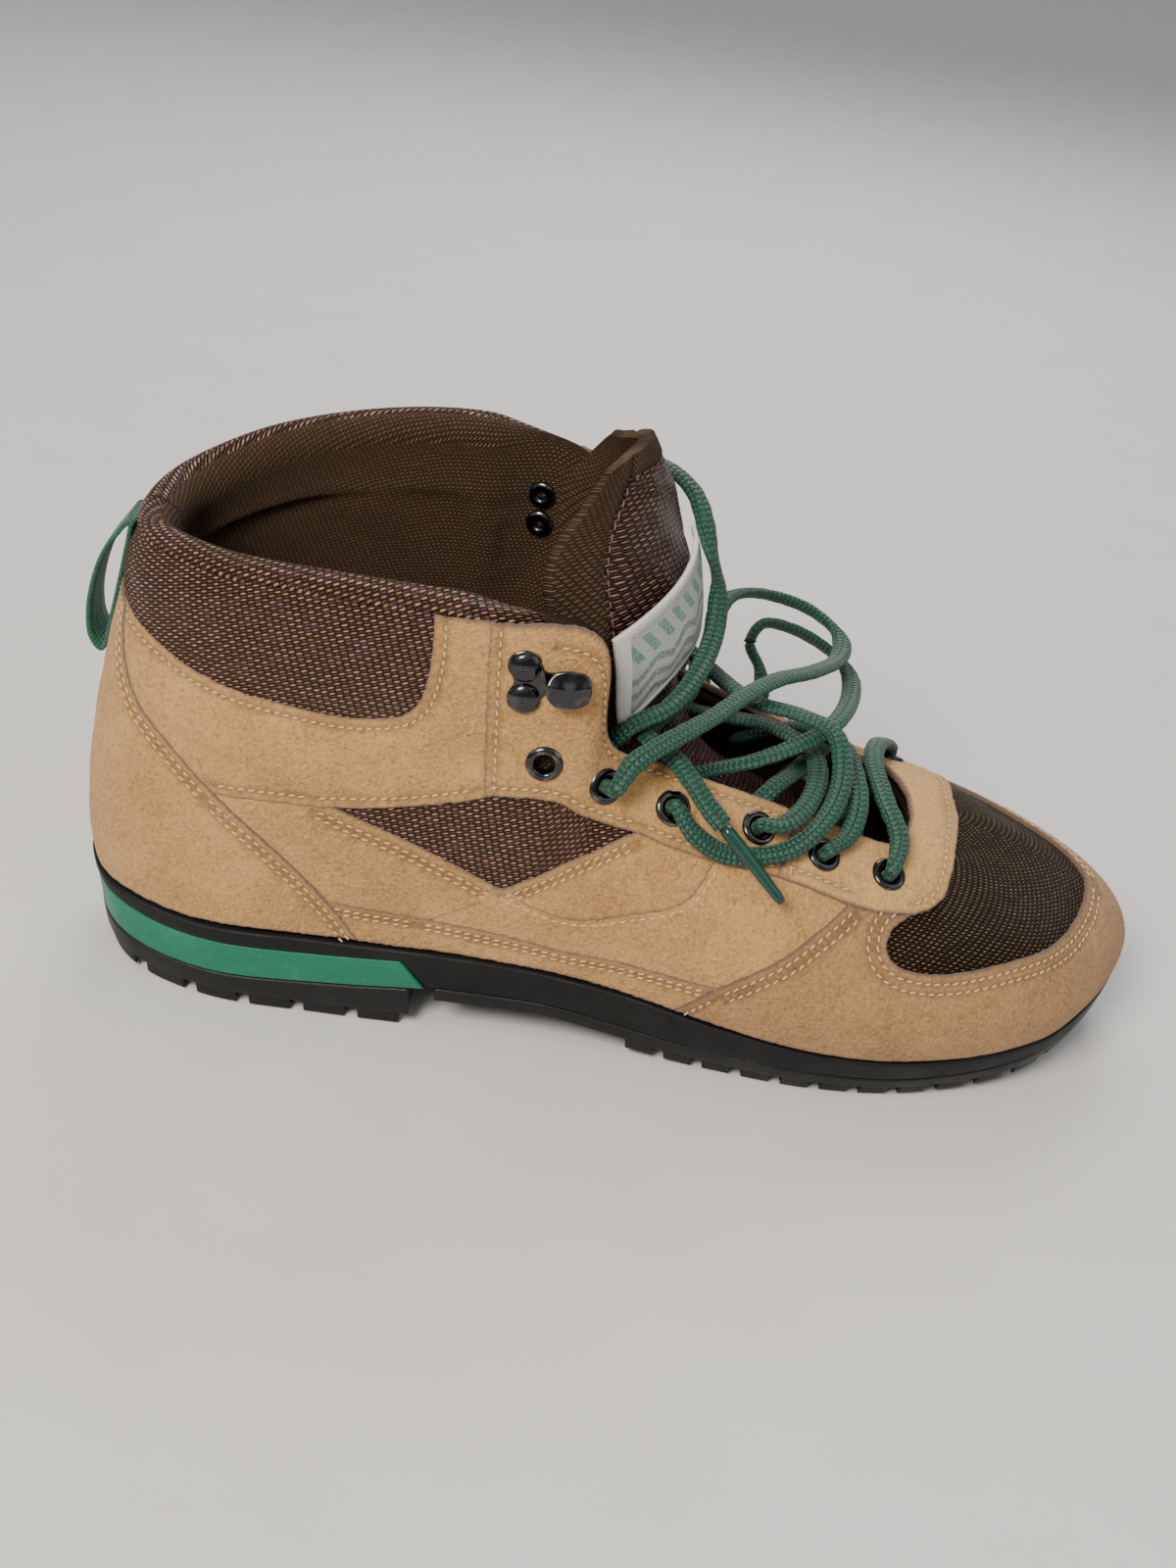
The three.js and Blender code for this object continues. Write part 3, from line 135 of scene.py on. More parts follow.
seat_height = profile([(-6, 31.5), (5, 30.5), (14, 28.8), (40, 27.2), (72, 27.5), (102, 27.5), (126, 26.5),
                       (155, 24), (181, 20), (210, 17.5), (241, 17.5), (273, 19.4), (296, 22), (306, 23.5)])
wedge_top = profile([(-6, 29), (5, 26), (16, 23.6), (30, 21.8), (46, 21.4), (62, 21.6), (78, 22.3),
                     (100, 23.4)])
wedge_bottom = profile([(-6, 15.5), (5, 14), (14, 12.4), (26, 11), (42, 10.6), (60, 11.2), (78, 12.4),
                        (104, 14.4)])
heel_ground = profile([(-6, 6), (5, 3.4), (14, 1.3), (24, 0.3), (34, 0), (100, 0)])
fore_ground = profile([(90, 6.6), (104, 6.6), (120, 6.4), (136, 5.8), (156, 2.8), (172, 0.8), (186, 0),
                       (225, 0), (250, 1.4), (273, 3.9), (290, 6.8), (306, 9.5)])

CONTROLS = np.array([[p if len(p) == 3 else [*p, float(seat_height(p[0]))] for p in rib] for rib in RIBS],
                    float)


def skin_point(u, v):
    u, v = np.broadcast_arrays(np.asarray(u, float), np.asarray(v, float))
    i = np.floor(u).astype(int)
    t = (u - i)[..., None, None]
    ribs = spline1(t, *(CONTROLS[(i + k) % RIB_COUNT] for k in (-1, 0, 1, 2)))
    v, w = v[..., None], 1 - v[..., None]
    return (w**3 * ribs[..., 0, :] + 3 * v * w**2 * ribs[..., 1, :] + 3 * v**2 * w * ribs[..., 2, :]
            + v**3 * ribs[..., 3, :])


def unit(vectors):
    return vectors / np.maximum(np.linalg.norm(vectors, axis=-1, keepdims=True), 1e-9)


def arc_of(points):
    """Length along a polyline at each of its points."""
    return np.concatenate([[0], np.cumsum(np.linalg.norm(np.diff(points, axis=0), axis=1))])


def read_at(spots, arc, points):
    """Points of a polyline at lengths along it."""
    return np.stack([np.interp(spots, arc, points[:, k]) for k in range(3)], -1)


def skin_normal(u, v, e=0.004):
    u, v = np.asarray(u, float), np.asarray(v, float)
    return unit(np.cross(skin_point(u + e, v) - skin_point(u - e, v),
                         skin_point(u, v + e) - skin_point(u, v - e)))


def skin(u, v, offset):
    """A point above (+) or below (-) the outer face of the suede."""
    return skin_point(u, v) + skin_normal(u, v) * np.asarray(offset, float)[..., None]


# lengths around the boot and up each rib, so that a weave keeps its cell size
_ring = skin_point(np.linspace(-RIB_COUNT, 2 * RIB_COUNT, 3 * RIB_COUNT * 8 + 1), 0.5)
_arc = arc_of(_ring)
_arc_u = np.linspace(-RIB_COUNT, 2 * RIB_COUNT, len(_arc))
_rib_line = skin_point(np.arange(0, RIB_COUNT, 0.5)[:, None], np.linspace(0, 1, 25)[None])
_rib_length = np.linalg.norm(np.diff(_rib_line, axis=1), axis=2).sum(1)


def skin_uv(u, v):
    """Texture coordinates in metres over the boot's surface."""
    around = np.append(_rib_length, _rib_length[0])
    length = np.interp(np.mod(u, RIB_COUNT), np.arange(0, RIB_COUNT + 0.5, 0.5), around)
    return np.stack([np.interp(u, _arc_u, _arc), v * length], -1) * MM


# ---------------------------------------------------------------- seams, as in the CAD source
BASE, EDGE = 0.012, 0.995
ARM, POST, YOKE = 3.66, 4.07, 8.52
SEAMS = {
    "counter_low": [(3.38, BASE), (3.12, 0.13), (2.6, 0.295), (2.14, 0.42)],
    "counter_high": [(2.14, 0.42), (1.74, 0.515), (1.35, 0.6), (1.06, 0.7), (0.85, 0.82)],
    "collar_top": [(0.85, 0.82), (0.45, 0.832), (0, 0.835)],
    "collar_low": [(ARM, EDGE), (3.68, 0.82), (3.56, 0.71), (3.1, 0.67), (2.5, 0.685), (1.9, 0.72),
                   (1.4, 0.77), (0.85, 0.82)],
    "band_rear": [(2.14, 0.42), (2.94, 0.42)],
    "band_front": [(2.94, 0.42), (3.6, 0.455), (4.32, 0.52)],
    "eyestay_rear": [(4.32, 0.52), (4.22, 0.68), (4.13, 0.84), (POST, EDGE)],
    "low_window": [(4.32, 0.52), (4.9, 0.54), (5.5, 0.575), (6.1, 0.635), (6.88, 0.65)],
    "low_saddle": [(6.88, 0.65), (7.3, 0.645), (7.7, 0.65)],
    "low_front": [(7.7, 0.65), (8.0, 0.668), (8.35, 0.69)],
    "low_throat": [(8.35, 0.69), (8.7, 0.695), (9.06, 0.685)],
    "throat_rear": [(8.35, 0.69), (8.44, 0.85), (YOKE, EDGE)],
    "window_front": [(4.64, 0.24), (5.7, 0.42), (6.88, 0.65)],
    "window_rear": [(4.64, 0.24), (3.7, 0.34), (2.94, 0.42)],
    "saddle_rear": [(4.64, 0.24), (4.25, 0.17), (3.92, 0.115)],
    "saddle_arc": [(7.7, 0.65), (7.5, 0.47), (7.1, 0.36), (6.4, 0.27), (5.5, 0.225), (4.64, 0.24)],
    "rand_rear": [(3.12, 0.13), (3.5, 0.12), (3.92, 0.115)],
    "rand_front": [(3.92, 0.115), (5.0, 0.1), (6.0, 0.105), (6.9, 0.125), (7.9, 0.165)],
    "guard_low": [(7.56, BASE), (7.9, 0.165)],
    "guard_high": [(7.9, 0.165), (8.4, 0.36), (8.72, 0.52), (9.06, 0.685)],
    "guard_top": [(9.06, 0.685), (9.4, 0.68), (9.75, 0.69)],
    "toe_outer": [(9.75, 0.69), (9.5, 0.62), (9.42, 0.53), (9.56, 0.465), (9.95, 0.45), (10.6, 0.47),
                  (11.3, 0.46), (12.0, 0.5)],
    "toe_inner": [(12.0, 0.5), (12.6, 0.6), (13.1, 0.665), (13.7, 0.69), (14.25, 0.69)],
    "throat_front": [(9.75, 0.69), (10.15, 0.74), (10.6, 0.82), (11.2, 0.875), (12.0, 0.895), (12.8, 0.88),
                     (13.4, 0.83), (13.85, 0.76), (14.25, 0.69)],
}
FLAT = np.array([RIB_SPAN, WALL_SPAN])


def smooth_line(points, step=1.0, closed=False):
    """Points along a smooth line through the chosen ones, about one step apart."""
    p = np.asarray(points, float)
    spans, last = [], len(p) - 1
    for i in range(len(p) if closed else last):
        near = [p[(i + k) % len(p)] if closed else p[min(max(i + k, 0), last)] for k in (-1, 0, 1, 2)]
        count = max(2, int(np.linalg.norm(near[2] - near[1]) / step))
        spans.append(spline1(np.linspace(0, 1, count, endpoint=False)[:, None], *near))
    return np.vstack(spans if closed else [*spans, p[-1:]])


def seam(name, turn="outer"):
    """A seam in flat millimetres, on the outer side, on the inner side, or behind the heel's middle."""
    line = smooth_line(np.array(SEAMS[name]) * FLAT)
    if turn == "inner":
        line[:, 0] = RIB_COUNT * RIB_SPAN - line[:, 0]
    if turn == "behind":
        line[:, 0] = -line[:, 0]
    return line


def level(start, end, v, turn="outer"):
    if turn == "inner":
        start, end = RIB_COUNT - start, RIB_COUNT - end
    return smooth_line(np.array([(start, v), (end, v)]) * FLAT)


def along(line, side):
    """The line moved to its left (+) or right (-) by millimetres over the real surface."""
    u, v = line[:, 0] / RIB_SPAN, line[:, 1] / WALL_SPAN
    p = skin_point(u, v)
    ahead = unit(np.gradient(p, axis=0))
    across = np.cross(skin_normal(u, v), ahead) * side
    e = 0.01
    du = (skin_point(u + e, v) - skin_point(u - e, v)) / (2 * e)
    dv = (skin_point(u, v + e) - skin_point(u, v - e)) / (2 * e)
    basis = np.stack([du, dv], -1)
    moved = np.linalg.pinv(basis) @ across[..., None]
    return np.stack([u + moved[:, 0, 0], v + moved[:, 1, 0]], -1) * FLAT


def inside(points, outline):
    """Which points lie inside a closed outline."""
    x, y = points[:, 0:1], points[:, 1:2]
    x0, y0 = outline[:, 0], outline[:, 1]
    x1, y1 = np.roll(x0, -1), np.roll(y0, -1)
    crosses = ((y0 > y) != (y1 > y)) & (x < (x1 - x0) * (y - y0) / (y1 - y0 + 1e-12) + x0)
    return crosses.sum(1) % 2 == 1


def area(outline):
    x, y = outline.T
    return 0.5 * float(np.sum(x * np.roll(y, -1) - np.roll(x, -1) * y))


def inset(outline, distance):
    """A closed outline, counter-clockwise, moved inwards."""
    before, after = outline - np.roll(outline, 1, 0), np.roll(outline, -1, 0) - outline
    a, b = (unit(np.stack([-d[:, 1], d[:, 0]], -1)) for d in (before, after))
    return outline + (a + b) * (distance / np.maximum(0.35, 1 + np.sum(a * b, 1)))[:, None]


def nearest(points, others):
    tree = kdtree.KDTree(len(others))
    for i, p in enumerate(others):
        tree.insert(p, i)
    tree.balance()
    return np.array([tree.find(p)[2] for p in points])


def dense(points, step):
    """A polyline with points no further apart than the step."""
    parts = []
    for a, b in zip(points[:-1], points[1:]):
        count = max(1, int(np.ceil(np.linalg.norm(b - a) / step)))
        parts.append(a + (b - a) * np.linspace(0, 1, count, endpoint=False)[:, None])
    return np.vstack([*parts, points[-1:]])


def even_outline(outline, step):
    return dense(np.vstack([outline, outline[:1]]), step)[:-1]


# ---------------------------------------------------------------- meshes
def new_object(name, points, faces, uv=None, values=None):
    """A smooth-shaded object from points in boot millimetres, with UVs and named values per point."""
    mesh = bpy.data.meshes.new(name)
    mesh.from_pydata(to_frame(points).tolist(), [], faces)
    mesh.validate()
    if uv is not None:
        loops = np.zeros(len(mesh.loops), np.int32)
        mesh.loops.foreach_get("vertex_index", loops)
        mesh.uv_layers.new(name="UVMap").data.foreach_set("uv", np.asarray(uv, np.float32)[loops].ravel())
    for key, value in (values or {}).items():
        mesh.attributes.new(key, "FLOAT", "POINT").data.foreach_set("value", np.asarray(value, np.float32))
    mesh.polygons.foreach_set("use_smooth", [True] * len(mesh.polygons))
    mesh.update()
    piece = bpy.data.objects.new(name, mesh)
    bpy.context.scene.collection.objects.link(piece)
    return piece


def dress(piece, material, body, slot, replaces=()):
    """Material, body and the CAD nodes the piece stands for; the slot is not used."""
    for one in material if isinstance(material, list) else [material]:
        piece.data.materials.append(one)
    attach(piece, body)
    if replaces:
        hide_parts(*replaces)
    return piece


UNSEWN = 9.0  # millimetres from the nearest row of stitches, where a plate has none


def plate(outline, step, place, thickness, rounding, lines=(), groove=0.0, wall_steps=1, ripple=0.0,
          puff=0.0):
    """Points, faces, flat points, edge distances and sewn-line distances of a closed plate.
    place(flat, depth) carries flat points to space; its upper edge is rounded, its middle puffs up, and
    grooves run along lines."""
    if area(outline) < 0:
        outline = outline[::-1]
    count = len(outline)
    low, high = outline.min(0), outline.max(0)
    rows = np.arange(low[1], high[1] + step, step * 0.87)
    columns = [np.arange(low[0] + (k % 2) * step / 2, high[0], step) for k in range(len(rows))]
    grid = np.vstack([np.column_stack([x, np.full(len(x), y)]) for x, y in zip(columns, rows)])
    edge3 = place(outline, np.zeros(count))
    extra = [inset(outline, d) for d in (rounding * 0.4, rounding)] if rounding else []
    tracks = [dense(np.asarray(line), 0.9) for line in lines]
    grid = np.vstack([grid, *extra, *tracks])
    grid = grid[inside(grid, outline)]
    far = nearest(place(grid, np.zeros(len(grid))), edge3)
    grid = grid[far > 0.3 * max(rounding, 0.3)]
    loop = [(i, (i + 1) % count) for i in range(count)]
    points, _, faces, *_ = geometry.delaunay_2d_cdt(
        [Vector(p) for p in np.vstack([outline, grid])], loop, [list(range(count))], 1, 1e-4)
    flat = np.array([list(p) for p in points])
    border = {}
    for face in faces:
        for a, b in zip(face, face[1:] + face[:1]):
            if (b, a) in border:
                del border[(b, a)]
            else:
                border[(a, b)] = True
    rim = sorted({i for pair in border for i in pair})
    top = place(flat, np.zeros(len(flat)))
    distance = nearest(top, edge3)
    distance[rim] = 0
    arch = np.sqrt(np.maximum(rounding**2 - (rounding - distance)**2, 0))
    drop = np.where(distance < rounding, rounding - arch, 0)
    sewn = np.full(len(flat), UNSEWN)
    if lines:
        track3 = place(np.vstack(tracks), np.zeros(sum(len(t) for t in tracks)))
        sewn = nearest(top, track3)
        drop = drop + groove * np.exp(-(sewn / 0.75) ** 2)
        puff = puff * (1 - 0.6 * np.exp(-(sewn / 2.5) ** 2))
    drop = drop - puff * (1 - np.exp(-(distance / 6.0) ** 2))
    if ripple:
        waves = np.sin(top[:, 0] * 0.21 + top[:, 2] * 0.13), np.sin(top[:, 1] * 0.17 - top[:, 2] * 0.19)
        drop = drop + ripple * waves[0] * waves[1]
    levels = [place(flat, drop), place(flat, np.full(len(flat), thickness))]
    space, total = np.vstack(levels), len(flat)
    solid = [list(f) for f in faces] + [[i + total for i in reversed(f)] for f in faces]
    flats, edges = np.vstack([flat, flat]), np.concatenate([distance, np.zeros(total)])
    rings, first = {}, len(space)
    for k in range(1, wall_steps):
        depth = rounding + (thickness - rounding) * k / wall_steps
        for i in rim:
            rings[(k, i)] = first
            first += 1
        space = np.vstack([space, place(flat[rim], np.full(len(rim), depth))])
        flats, edges = np.vstack([flats, flat[rim]]), np.concatenate([edges, np.zeros(len(rim))])
    for a, b in border:
        between = [(rings[(k, a)], rings[(k, b)]) for k in range(1, wall_steps)]
        column = [(a, b), *between, (a + total, b + total)]
        for (p, q), (r, s) in zip(column[:-1], column[1:]):
            solid.append([q, p, r, s])
    sewn = np.concatenate([sewn, np.full(len(space) - len(flat), UNSEWN)])
    return space, solid, flats, edges, sewn


def grid_faces(rows, columns, wrap_rows=False, wrap_columns=False):
    r = np.arange(rows if wrap_rows else rows - 1)
    c = np.arange(columns if wrap_columns else columns - 1)
    i, j = (a.ravel() for a in np.meshgrid(r, c, indexing="ij"))
    ii, jj = (i + 1) % rows, (j + 1) % columns
    return np.stack([i * columns + j, ii * columns + j, ii * columns + jj, i * columns + jj], -1).tolist()


def tube_faces(rows, columns):
    """Faces of a stack of rings, closed by two tip points that follow the rings."""
    faces, tip, last = grid_faces(rows, columns, False, True), rows * columns, (rows - 1) * columns
    for j in range(columns):
        k = (j + 1) % columns
        faces += [[tip, j, k], [tip + 1, last + k, last + j]]
    return faces


def slab_faces(rows, columns):
    """Faces of a two-sided sheet: a grid of points on top, the same grid below, and a rim between them."""
    n, end, sheet = rows * columns, columns - 1, grid_faces(rows, columns)
    rim = ([(i, i + 1) for i in range(end)]
           + [(k * columns + end, (k + 1) * columns + end) for k in range(rows - 1)]
           + [((rows - 1) * columns + i + 1, (rows - 1) * columns + i) for i in range(end)][::-1]
           + [((k + 1) * columns, k * columns) for k in range(rows - 1)][::-1])
    return sheet + [[i + n for i in f[::-1]] for f in sheet] + [[a, b, b + n, a + n] for a, b in rim]


def turned(points, faces):
    """The faces, flipped if the closed body would be inside out."""
    p = np.asarray(points)
    volume = sum(float(np.dot(p[f[0]], np.cross(p[f[k]], p[f[k + 1]])))
                 for f in faces for k in range(1, len(f) - 1))
    return faces if volume > 0 else [f[::-1] for f in faces]


def lathe(rings, turns):
    """Points and faces of a ring around Z from a closed (radius, z) outline."""
    outline = np.array(rings, float)
    angle = np.linspace(0, 2 * math.pi, turns, endpoint=False)
    points = np.stack([np.outer(np.cos(angle), outline[:, 0]), np.outer(np.sin(angle), outline[:, 0]),
                       np.tile(outline[:, 1], (turns, 1))], -1).reshape(-1, 3)
    return points, grid_faces(turns, len(outline), True, True)


def place_on_skin(points, u, v, spin=0.0):
    """Local (ahead, up, out) millimetres carried to a place on the boot's surface."""
    out = skin_normal(u, v)
    ahead = unit(skin_point(u + 0.01, v) - skin_point(u - 0.01, v))
    up = np.cross(out, ahead)
    c, s = math.cos(spin), math.sin(spin)
    p = np.asarray(points, float)
    x, y = p[:, 0] * c - p[:, 1] * s, p[:, 0] * s + p[:, 1] * c
    return skin_point(u, v) + np.outer(x, ahead) + np.outer(y, up) + np.outer(p[:, 2], out)


def merge(parts):
    """Several (points, faces) as one."""
    points, faces, first = [], [], 0
    for p, f in parts:
        points.append(p)
        faces += [[i + first for i in face] for face in f]
        first += len(p)
    return np.vstack(points), faces


# ---------------------------------------------------------------- padding by cloth simulation
def inflated(grid, pinned, wrap=False, pressure=4.0, growth=0.03, frames=16, cap=2.2):
    """How far foam pushes a sewn sheet out: a coarse grid of points becomes cloth, pinned at its seams,
    under pressure from below and cut a little full. Gives each point's move in millimetres, up to the cap."""
    rows, columns = grid.shape[:2]
    piece = new_object("pad_cloth", grid.reshape(-1, 3), grid_faces(rows, columns, False, wrap))
    group = piece.vertex_groups.new(name="seams")
    for index, weight in enumerate(pinned.ravel()):
        group.add([index], float(weight), "REPLACE")
    cloth = piece.modifiers.new("cloth", "CLOTH")
    settings = cloth.settings
    settings.vertex_group_mass = "seams"
    settings.use_pressure, settings.uniform_pressure_force = True, pressure
    settings.quality, settings.mass = 6, 0.3
    settings.tension_stiffness = settings.compression_stiffness = 12
    settings.shear_stiffness, settings.bending_stiffness = 6, 0.6
    settings.shrink_min = -growth
    settings.effector_weights.gravity = 0
    cloth.point_cache.frame_start, cloth.point_cache.frame_end = 1, frames
    for frame_number in range(1, frames + 1):
        bpy.context.scene.frame_set(frame_number)
    bpy.context.view_layer.update()
    shown = piece.evaluated_get(bpy.context.evaluated_depsgraph_get())
    moved = np.zeros(rows * columns * 3)
    shown.data.vertices.foreach_get("co", moved)
    bpy.data.objects.remove(piece)
    bpy.context.scene.frame_set(1)
    move = np.nan_to_num(moved.reshape(grid.shape) - to_frame(grid)) / MM
    size = np.linalg.norm(move, axis=-1, keepdims=True)
    return move * (cap * np.tanh(size / cap) / np.maximum(size, 1e-9))


def resampled(grid, rows, columns, wrap=False):
    """A grid of moves read at fractional rows and columns."""
    high = np.clip(rows, 0, grid.shape[0] - 1.001)
    i, fi = np.floor(high).astype(int), (high % 1)[..., None]
    if not wrap:
        columns = np.clip(columns, 0, grid.shape[1] - 1.001)
    j, fj = np.floor(columns).astype(int), (columns % 1)[..., None]
    k = (j + 1) % grid.shape[1]
    below, above = (grid[r, j] * (1 - fj) + grid[r, k] * fj for r in (i, i + 1))
    return below * (1 - fi) + above * fi


# ---------------------------------------------------------------- materials
class Nodes:
    """A short way to write a shader's nodes."""

    def __init__(self, name):
        self.material = bpy.data.materials.new(name)
        self.material.use_nodes = True
        self.tree = self.material.node_tree
        self.shader = self.tree.nodes["Principled BSDF"]

    def node(self, kind, **values):
        made = self.tree.nodes.new(kind)
        for key, value in values.items():
            self.put(made.inputs[key], value)
        return made.outputs

    def put(self, socket, value):
        if isinstance(value, bpy.types.NodeSocket):
            self.tree.links.new(value, socket)
        elif isinstance(value, (tuple, list)) and socket.type == "RGBA" and len(value) == 3:
            socket.default_value = (*value, 1)
        else:
            socket.default_value = value

    def math(self, operation, a, b=0.0, c=0.0):
        made = self.tree.nodes.new("ShaderNodeMath")
        made.operation = operation
        for socket, value in zip(made.inputs, (a, b, c)):
            self.put(socket, value)
        return made.outputs[0]

    def plus(self, a, b):
        return self.math("ADD", a, b)

    def minus(self, a, b):
        return self.math("SUBTRACT", a, b)

    def times(self, a, b):
        return self.math("MULTIPLY", a, b)

    def sine(self, a):
        return self.math("SINE", a)

    def above(self, a, b):
        return self.math("GREATER_THAN", a, b)

    def below(self, a, b):
        return self.math("LESS_THAN", a, b)

    def mix(self, factor, a, b):
        made = self.tree.nodes.new("ShaderNodeMix")
        made.data_type = "RGBA"
        self.put(made.inputs[0], factor)
        self.put(made.inputs[6], a)
        self.put(made.inputs[7], b)
        return made.outputs[2]

    def range(self, value, low, high, to_low=0.0, to_high=1.0):
        made = self.tree.nodes.new("ShaderNodeMapRange")
        for socket, one in zip(made.inputs, (value, low, high, to_low, to_high)):
            self.put(socket, one)
        return made.outputs[0]

    def place(self, kind="Object"):
        return self.tree.nodes.new("ShaderNodeTexCoord").outputs[kind]

    def noise(self, scale, detail=2.0, roughness=0.5, vector=None):
        made = self.tree.nodes.new("ShaderNodeTexNoise")
        self.put(made.inputs["Vector"], vector or self.place())
        for key, value in (("Scale", scale), ("Detail", detail), ("Roughness", roughness)):
            made.inputs[key].default_value = value
        return made.outputs[0]

    def value(self, name):
        made = self.tree.nodes.new("ShaderNodeAttribute")
        made.attribute_name = name
        return made.outputs["Fac"]

    def bump(self, height, distance, strength=1.0, under=None):
        made = self.tree.nodes.new("ShaderNodeBump")
        made.inputs["Strength"].default_value = strength
        made.inputs["Distance"].default_value = distance
        self.put(made.inputs["Height"], height)
        if under is not None:
            self.put(made.inputs["Normal"], under)
        return made.outputs[0]

    def finish(self, **values):
        for key, value in values.items():
            self.put(self.shader.inputs[key.replace("_", " ")], value)
        return self.material


def suede(name, light, dark, edge_colour):
    """Napped leather: brushed patches, short fibres, painted shade in the sewn grooves and greyer fuzz on its
    cut edges.
    """
    n = Nodes(name)
    patches = n.range(n.noise(45, 4, 0.65), 0.36, 0.66)
    fibre = n.noise(1100, 3, 0.7)
    speck = n.noise(820, 2, 0.65)
    colour = n.mix(patches, dark, light)
    colour = n.mix(n.range(fibre, 0.38, 0.64, 0.0, 0.6), colour, tuple(min(1, c * 1.35) for c in light))
    colour = n.mix(n.range(speck, 0.52, 0.70, 0.0, 0.5), colour, tuple(c * 0.58 for c in dark))
    # painted shade: the suede darkens towards each row of stitches, standing in for the shade in its sunken
    # groove
    sewn = n.minus(1.0, n.value("sewn"))
    colour = n.mix(n.times(sewn, 0.6), colour, tuple(c * 0.45 for c in dark))
    rim = n.plus(n.value("edge"), n.range(speck, 0.3, 0.7, -0.2, 0.2))
    rim = n.minus(1.0, n.range(rim, 0.1, 0.62))
    colour = n.mix(n.times(rim, 0.9), colour, edge_colour)
    height = n.plus(n.times(fibre, 0.6), n.times(speck, 0.9))
    bump = n.bump(height, 0.0008, 0.9, n.bump(n.noise(110, 3), 0.0016, 0.6))
    return n.finish(Base_Color=colour, Roughness=0.92, Normal=bump, Sheen_Weight=0.12, Sheen_Roughness=0.5,
                    Specular_IOR_Level=0.15)


def weave(name, pitch, gap_shade, body, top, relief, roughness=0.45, slant=0.0, accent=None, specular=0.4):
    """A plain weave in the piece's own UV millimetres, with painted light: painted shade in the gaps and on
    the threads that pass under, a painted highlight on the tops of those that pass over.
    """
    n = Nodes(name)
    split = n.node("ShaderNodeSeparateXYZ", Vector=n.place("UV"))
    x = n.plus(split[0], n.times(split[1], slant))
    y = n.minus(split[1], n.times(split[0], slant))
    wobble = n.range(n.noise(210, 1), 0, 1, -0.35, 0.35)
    a = n.plus(n.times(x, math.pi / (pitch * 1.5)), wobble)
    b = n.plus(n.times(y, math.pi / (pitch * 0.7)), wobble)
    sin_a, sin_b = n.sine(a), n.sine(b)
    over = n.above(n.times(sin_a, sin_b), 0.0)
    thread = n.times(n.math("POWER", n.math("ABSOLUTE", sin_a), 0.4),
                    n.math("POWER", n.math("ABSOLUTE", sin_b), 0.8))
    cell = n.tree.nodes.new("ShaderNodeTexWhiteNoise")
    cell.noise_dimensions = "2D"
    step = n.node("ShaderNodeCombineXYZ", X=n.math("FLOOR", n.math("DIVIDE", a, math.pi)),
                  Y=n.math("FLOOR", n.math("DIVIDE", b, math.pi)))
    n.put(cell.inputs["Vector"], step[0])
    shade = n.range(cell.outputs["Value"], 0, 1, 0.3, 1.0)
    # painted light: lit follows each thread's height and whether it passes over; low lit gives painted shade,
    # high lit the top colour as a painted highlight, stronger in random cells
    lit = n.times(thread, n.plus(0.35, n.times(over, 0.65)))
    colour = n.mix(n.range(lit, 0.12, 0.5), gap_shade, body)
    if accent:
        colour = n.mix(n.times(n.above(cell.outputs["Value"], 0.78), 0.5), colour, accent)
    colour = n.mix(n.times(n.range(lit, 0.5, 0.95), shade), colour, top)
    bump = n.bump(n.plus(thread, n.times(n.times(thread, over), 0.6)), relief, 1.0)
    return n.finish(Base_Color=colour, Roughness=roughness, Normal=bump, Specular_IOR_Level=specular)


def moulded(name, colour, worn, roughness, grain=900, relief=0.0002, specular=0.35):
    """Rubber or foam with a fine mould texture, dusty and scuffed in patches."""
    n = Nodes(name)
    dust = n.range(n.noise(55, 4, 0.65), 0.5, 0.75, 0.0, 0.5)
    fine = n.noise(grain, 2, 0.6)
    bump = n.bump(fine, relief, 0.7, n.bump(n.noise(160, 3), 0.0004, 0.35))
    mixed = n.mix(dust, colour, worn)
    mixed = n.mix(n.range(fine, 0.55, 0.75, 0.0, 0.3), mixed, tuple(c * 1.5 for c in worn))
    rough = n.range(n.noise(90, 3), 0.3, 0.7, roughness - 0.08, roughness + 0.1)
    return n.finish(Base_Color=mixed, Roughness=rough, Normal=bump, Specular_IOR_Level=specular)


def lacquer(name):
    """Gloss black paint on brass, rubbed to bare metal in places on its ridges."""
    n = Nodes(name)
    worn = n.times(n.value("edge"), n.range(n.noise(300, 3, 0.6), 0.5, 0.68, 0.0, 0.55))
    colour = n.mix(worn, (0.030, 0.030, 0.033), (0.40, 0.38, 0.34))
    rough = n.range(n.noise(500, 3), 0.3, 0.7, 0.12, 0.27)
    bump = n.bump(n.noise(240, 2), 0.00008, 0.4)
    return n.finish(Base_Color=colour, Roughness=rough, Metallic=1.0, Normal=bump, Coat_Weight=0.6)


def braid(name, dark, light, line_colour):
    """A flat tubular braid: fine slanted stitches either side of darker lines that run along it."""
    n = Nodes(name)
    split = n.node("ShaderNodeSeparateXYZ", Vector=n.place("UV"))
    around = n.times(split[0], 2 * math.pi)
    fold = n.math("ABSOLUTE", n.sine(n.times(around, 4.0)))
    run = n.times(split[1], 2 * math.pi / 0.0015)
    stitch = n.sine(n.plus(run, n.times(fold, 2.4)))
    colour = n.mix(n.range(stitch, -0.7, 0.8), dark, light)
    colour = n.mix(n.range(n.noise(1200, 2), 0.5, 0.75, 0.0, 0.3), colour, tuple(c * 1.7 for c in light))
    lines = n.minus(1.0, n.range(fold, 0.0, 0.34))
    colour = n.mix(n.times(lines, 0.7), colour, line_colour)
    height = n.minus(n.times(stitch, 0.5), n.times(lines, 0.9))
    return n.finish(Base_Color=colour, Roughness=0.55, Normal=n.bump(height, 0.0003, 0.9), Sheen_Weight=0.12,
                    Sheen_Roughness=0.4)


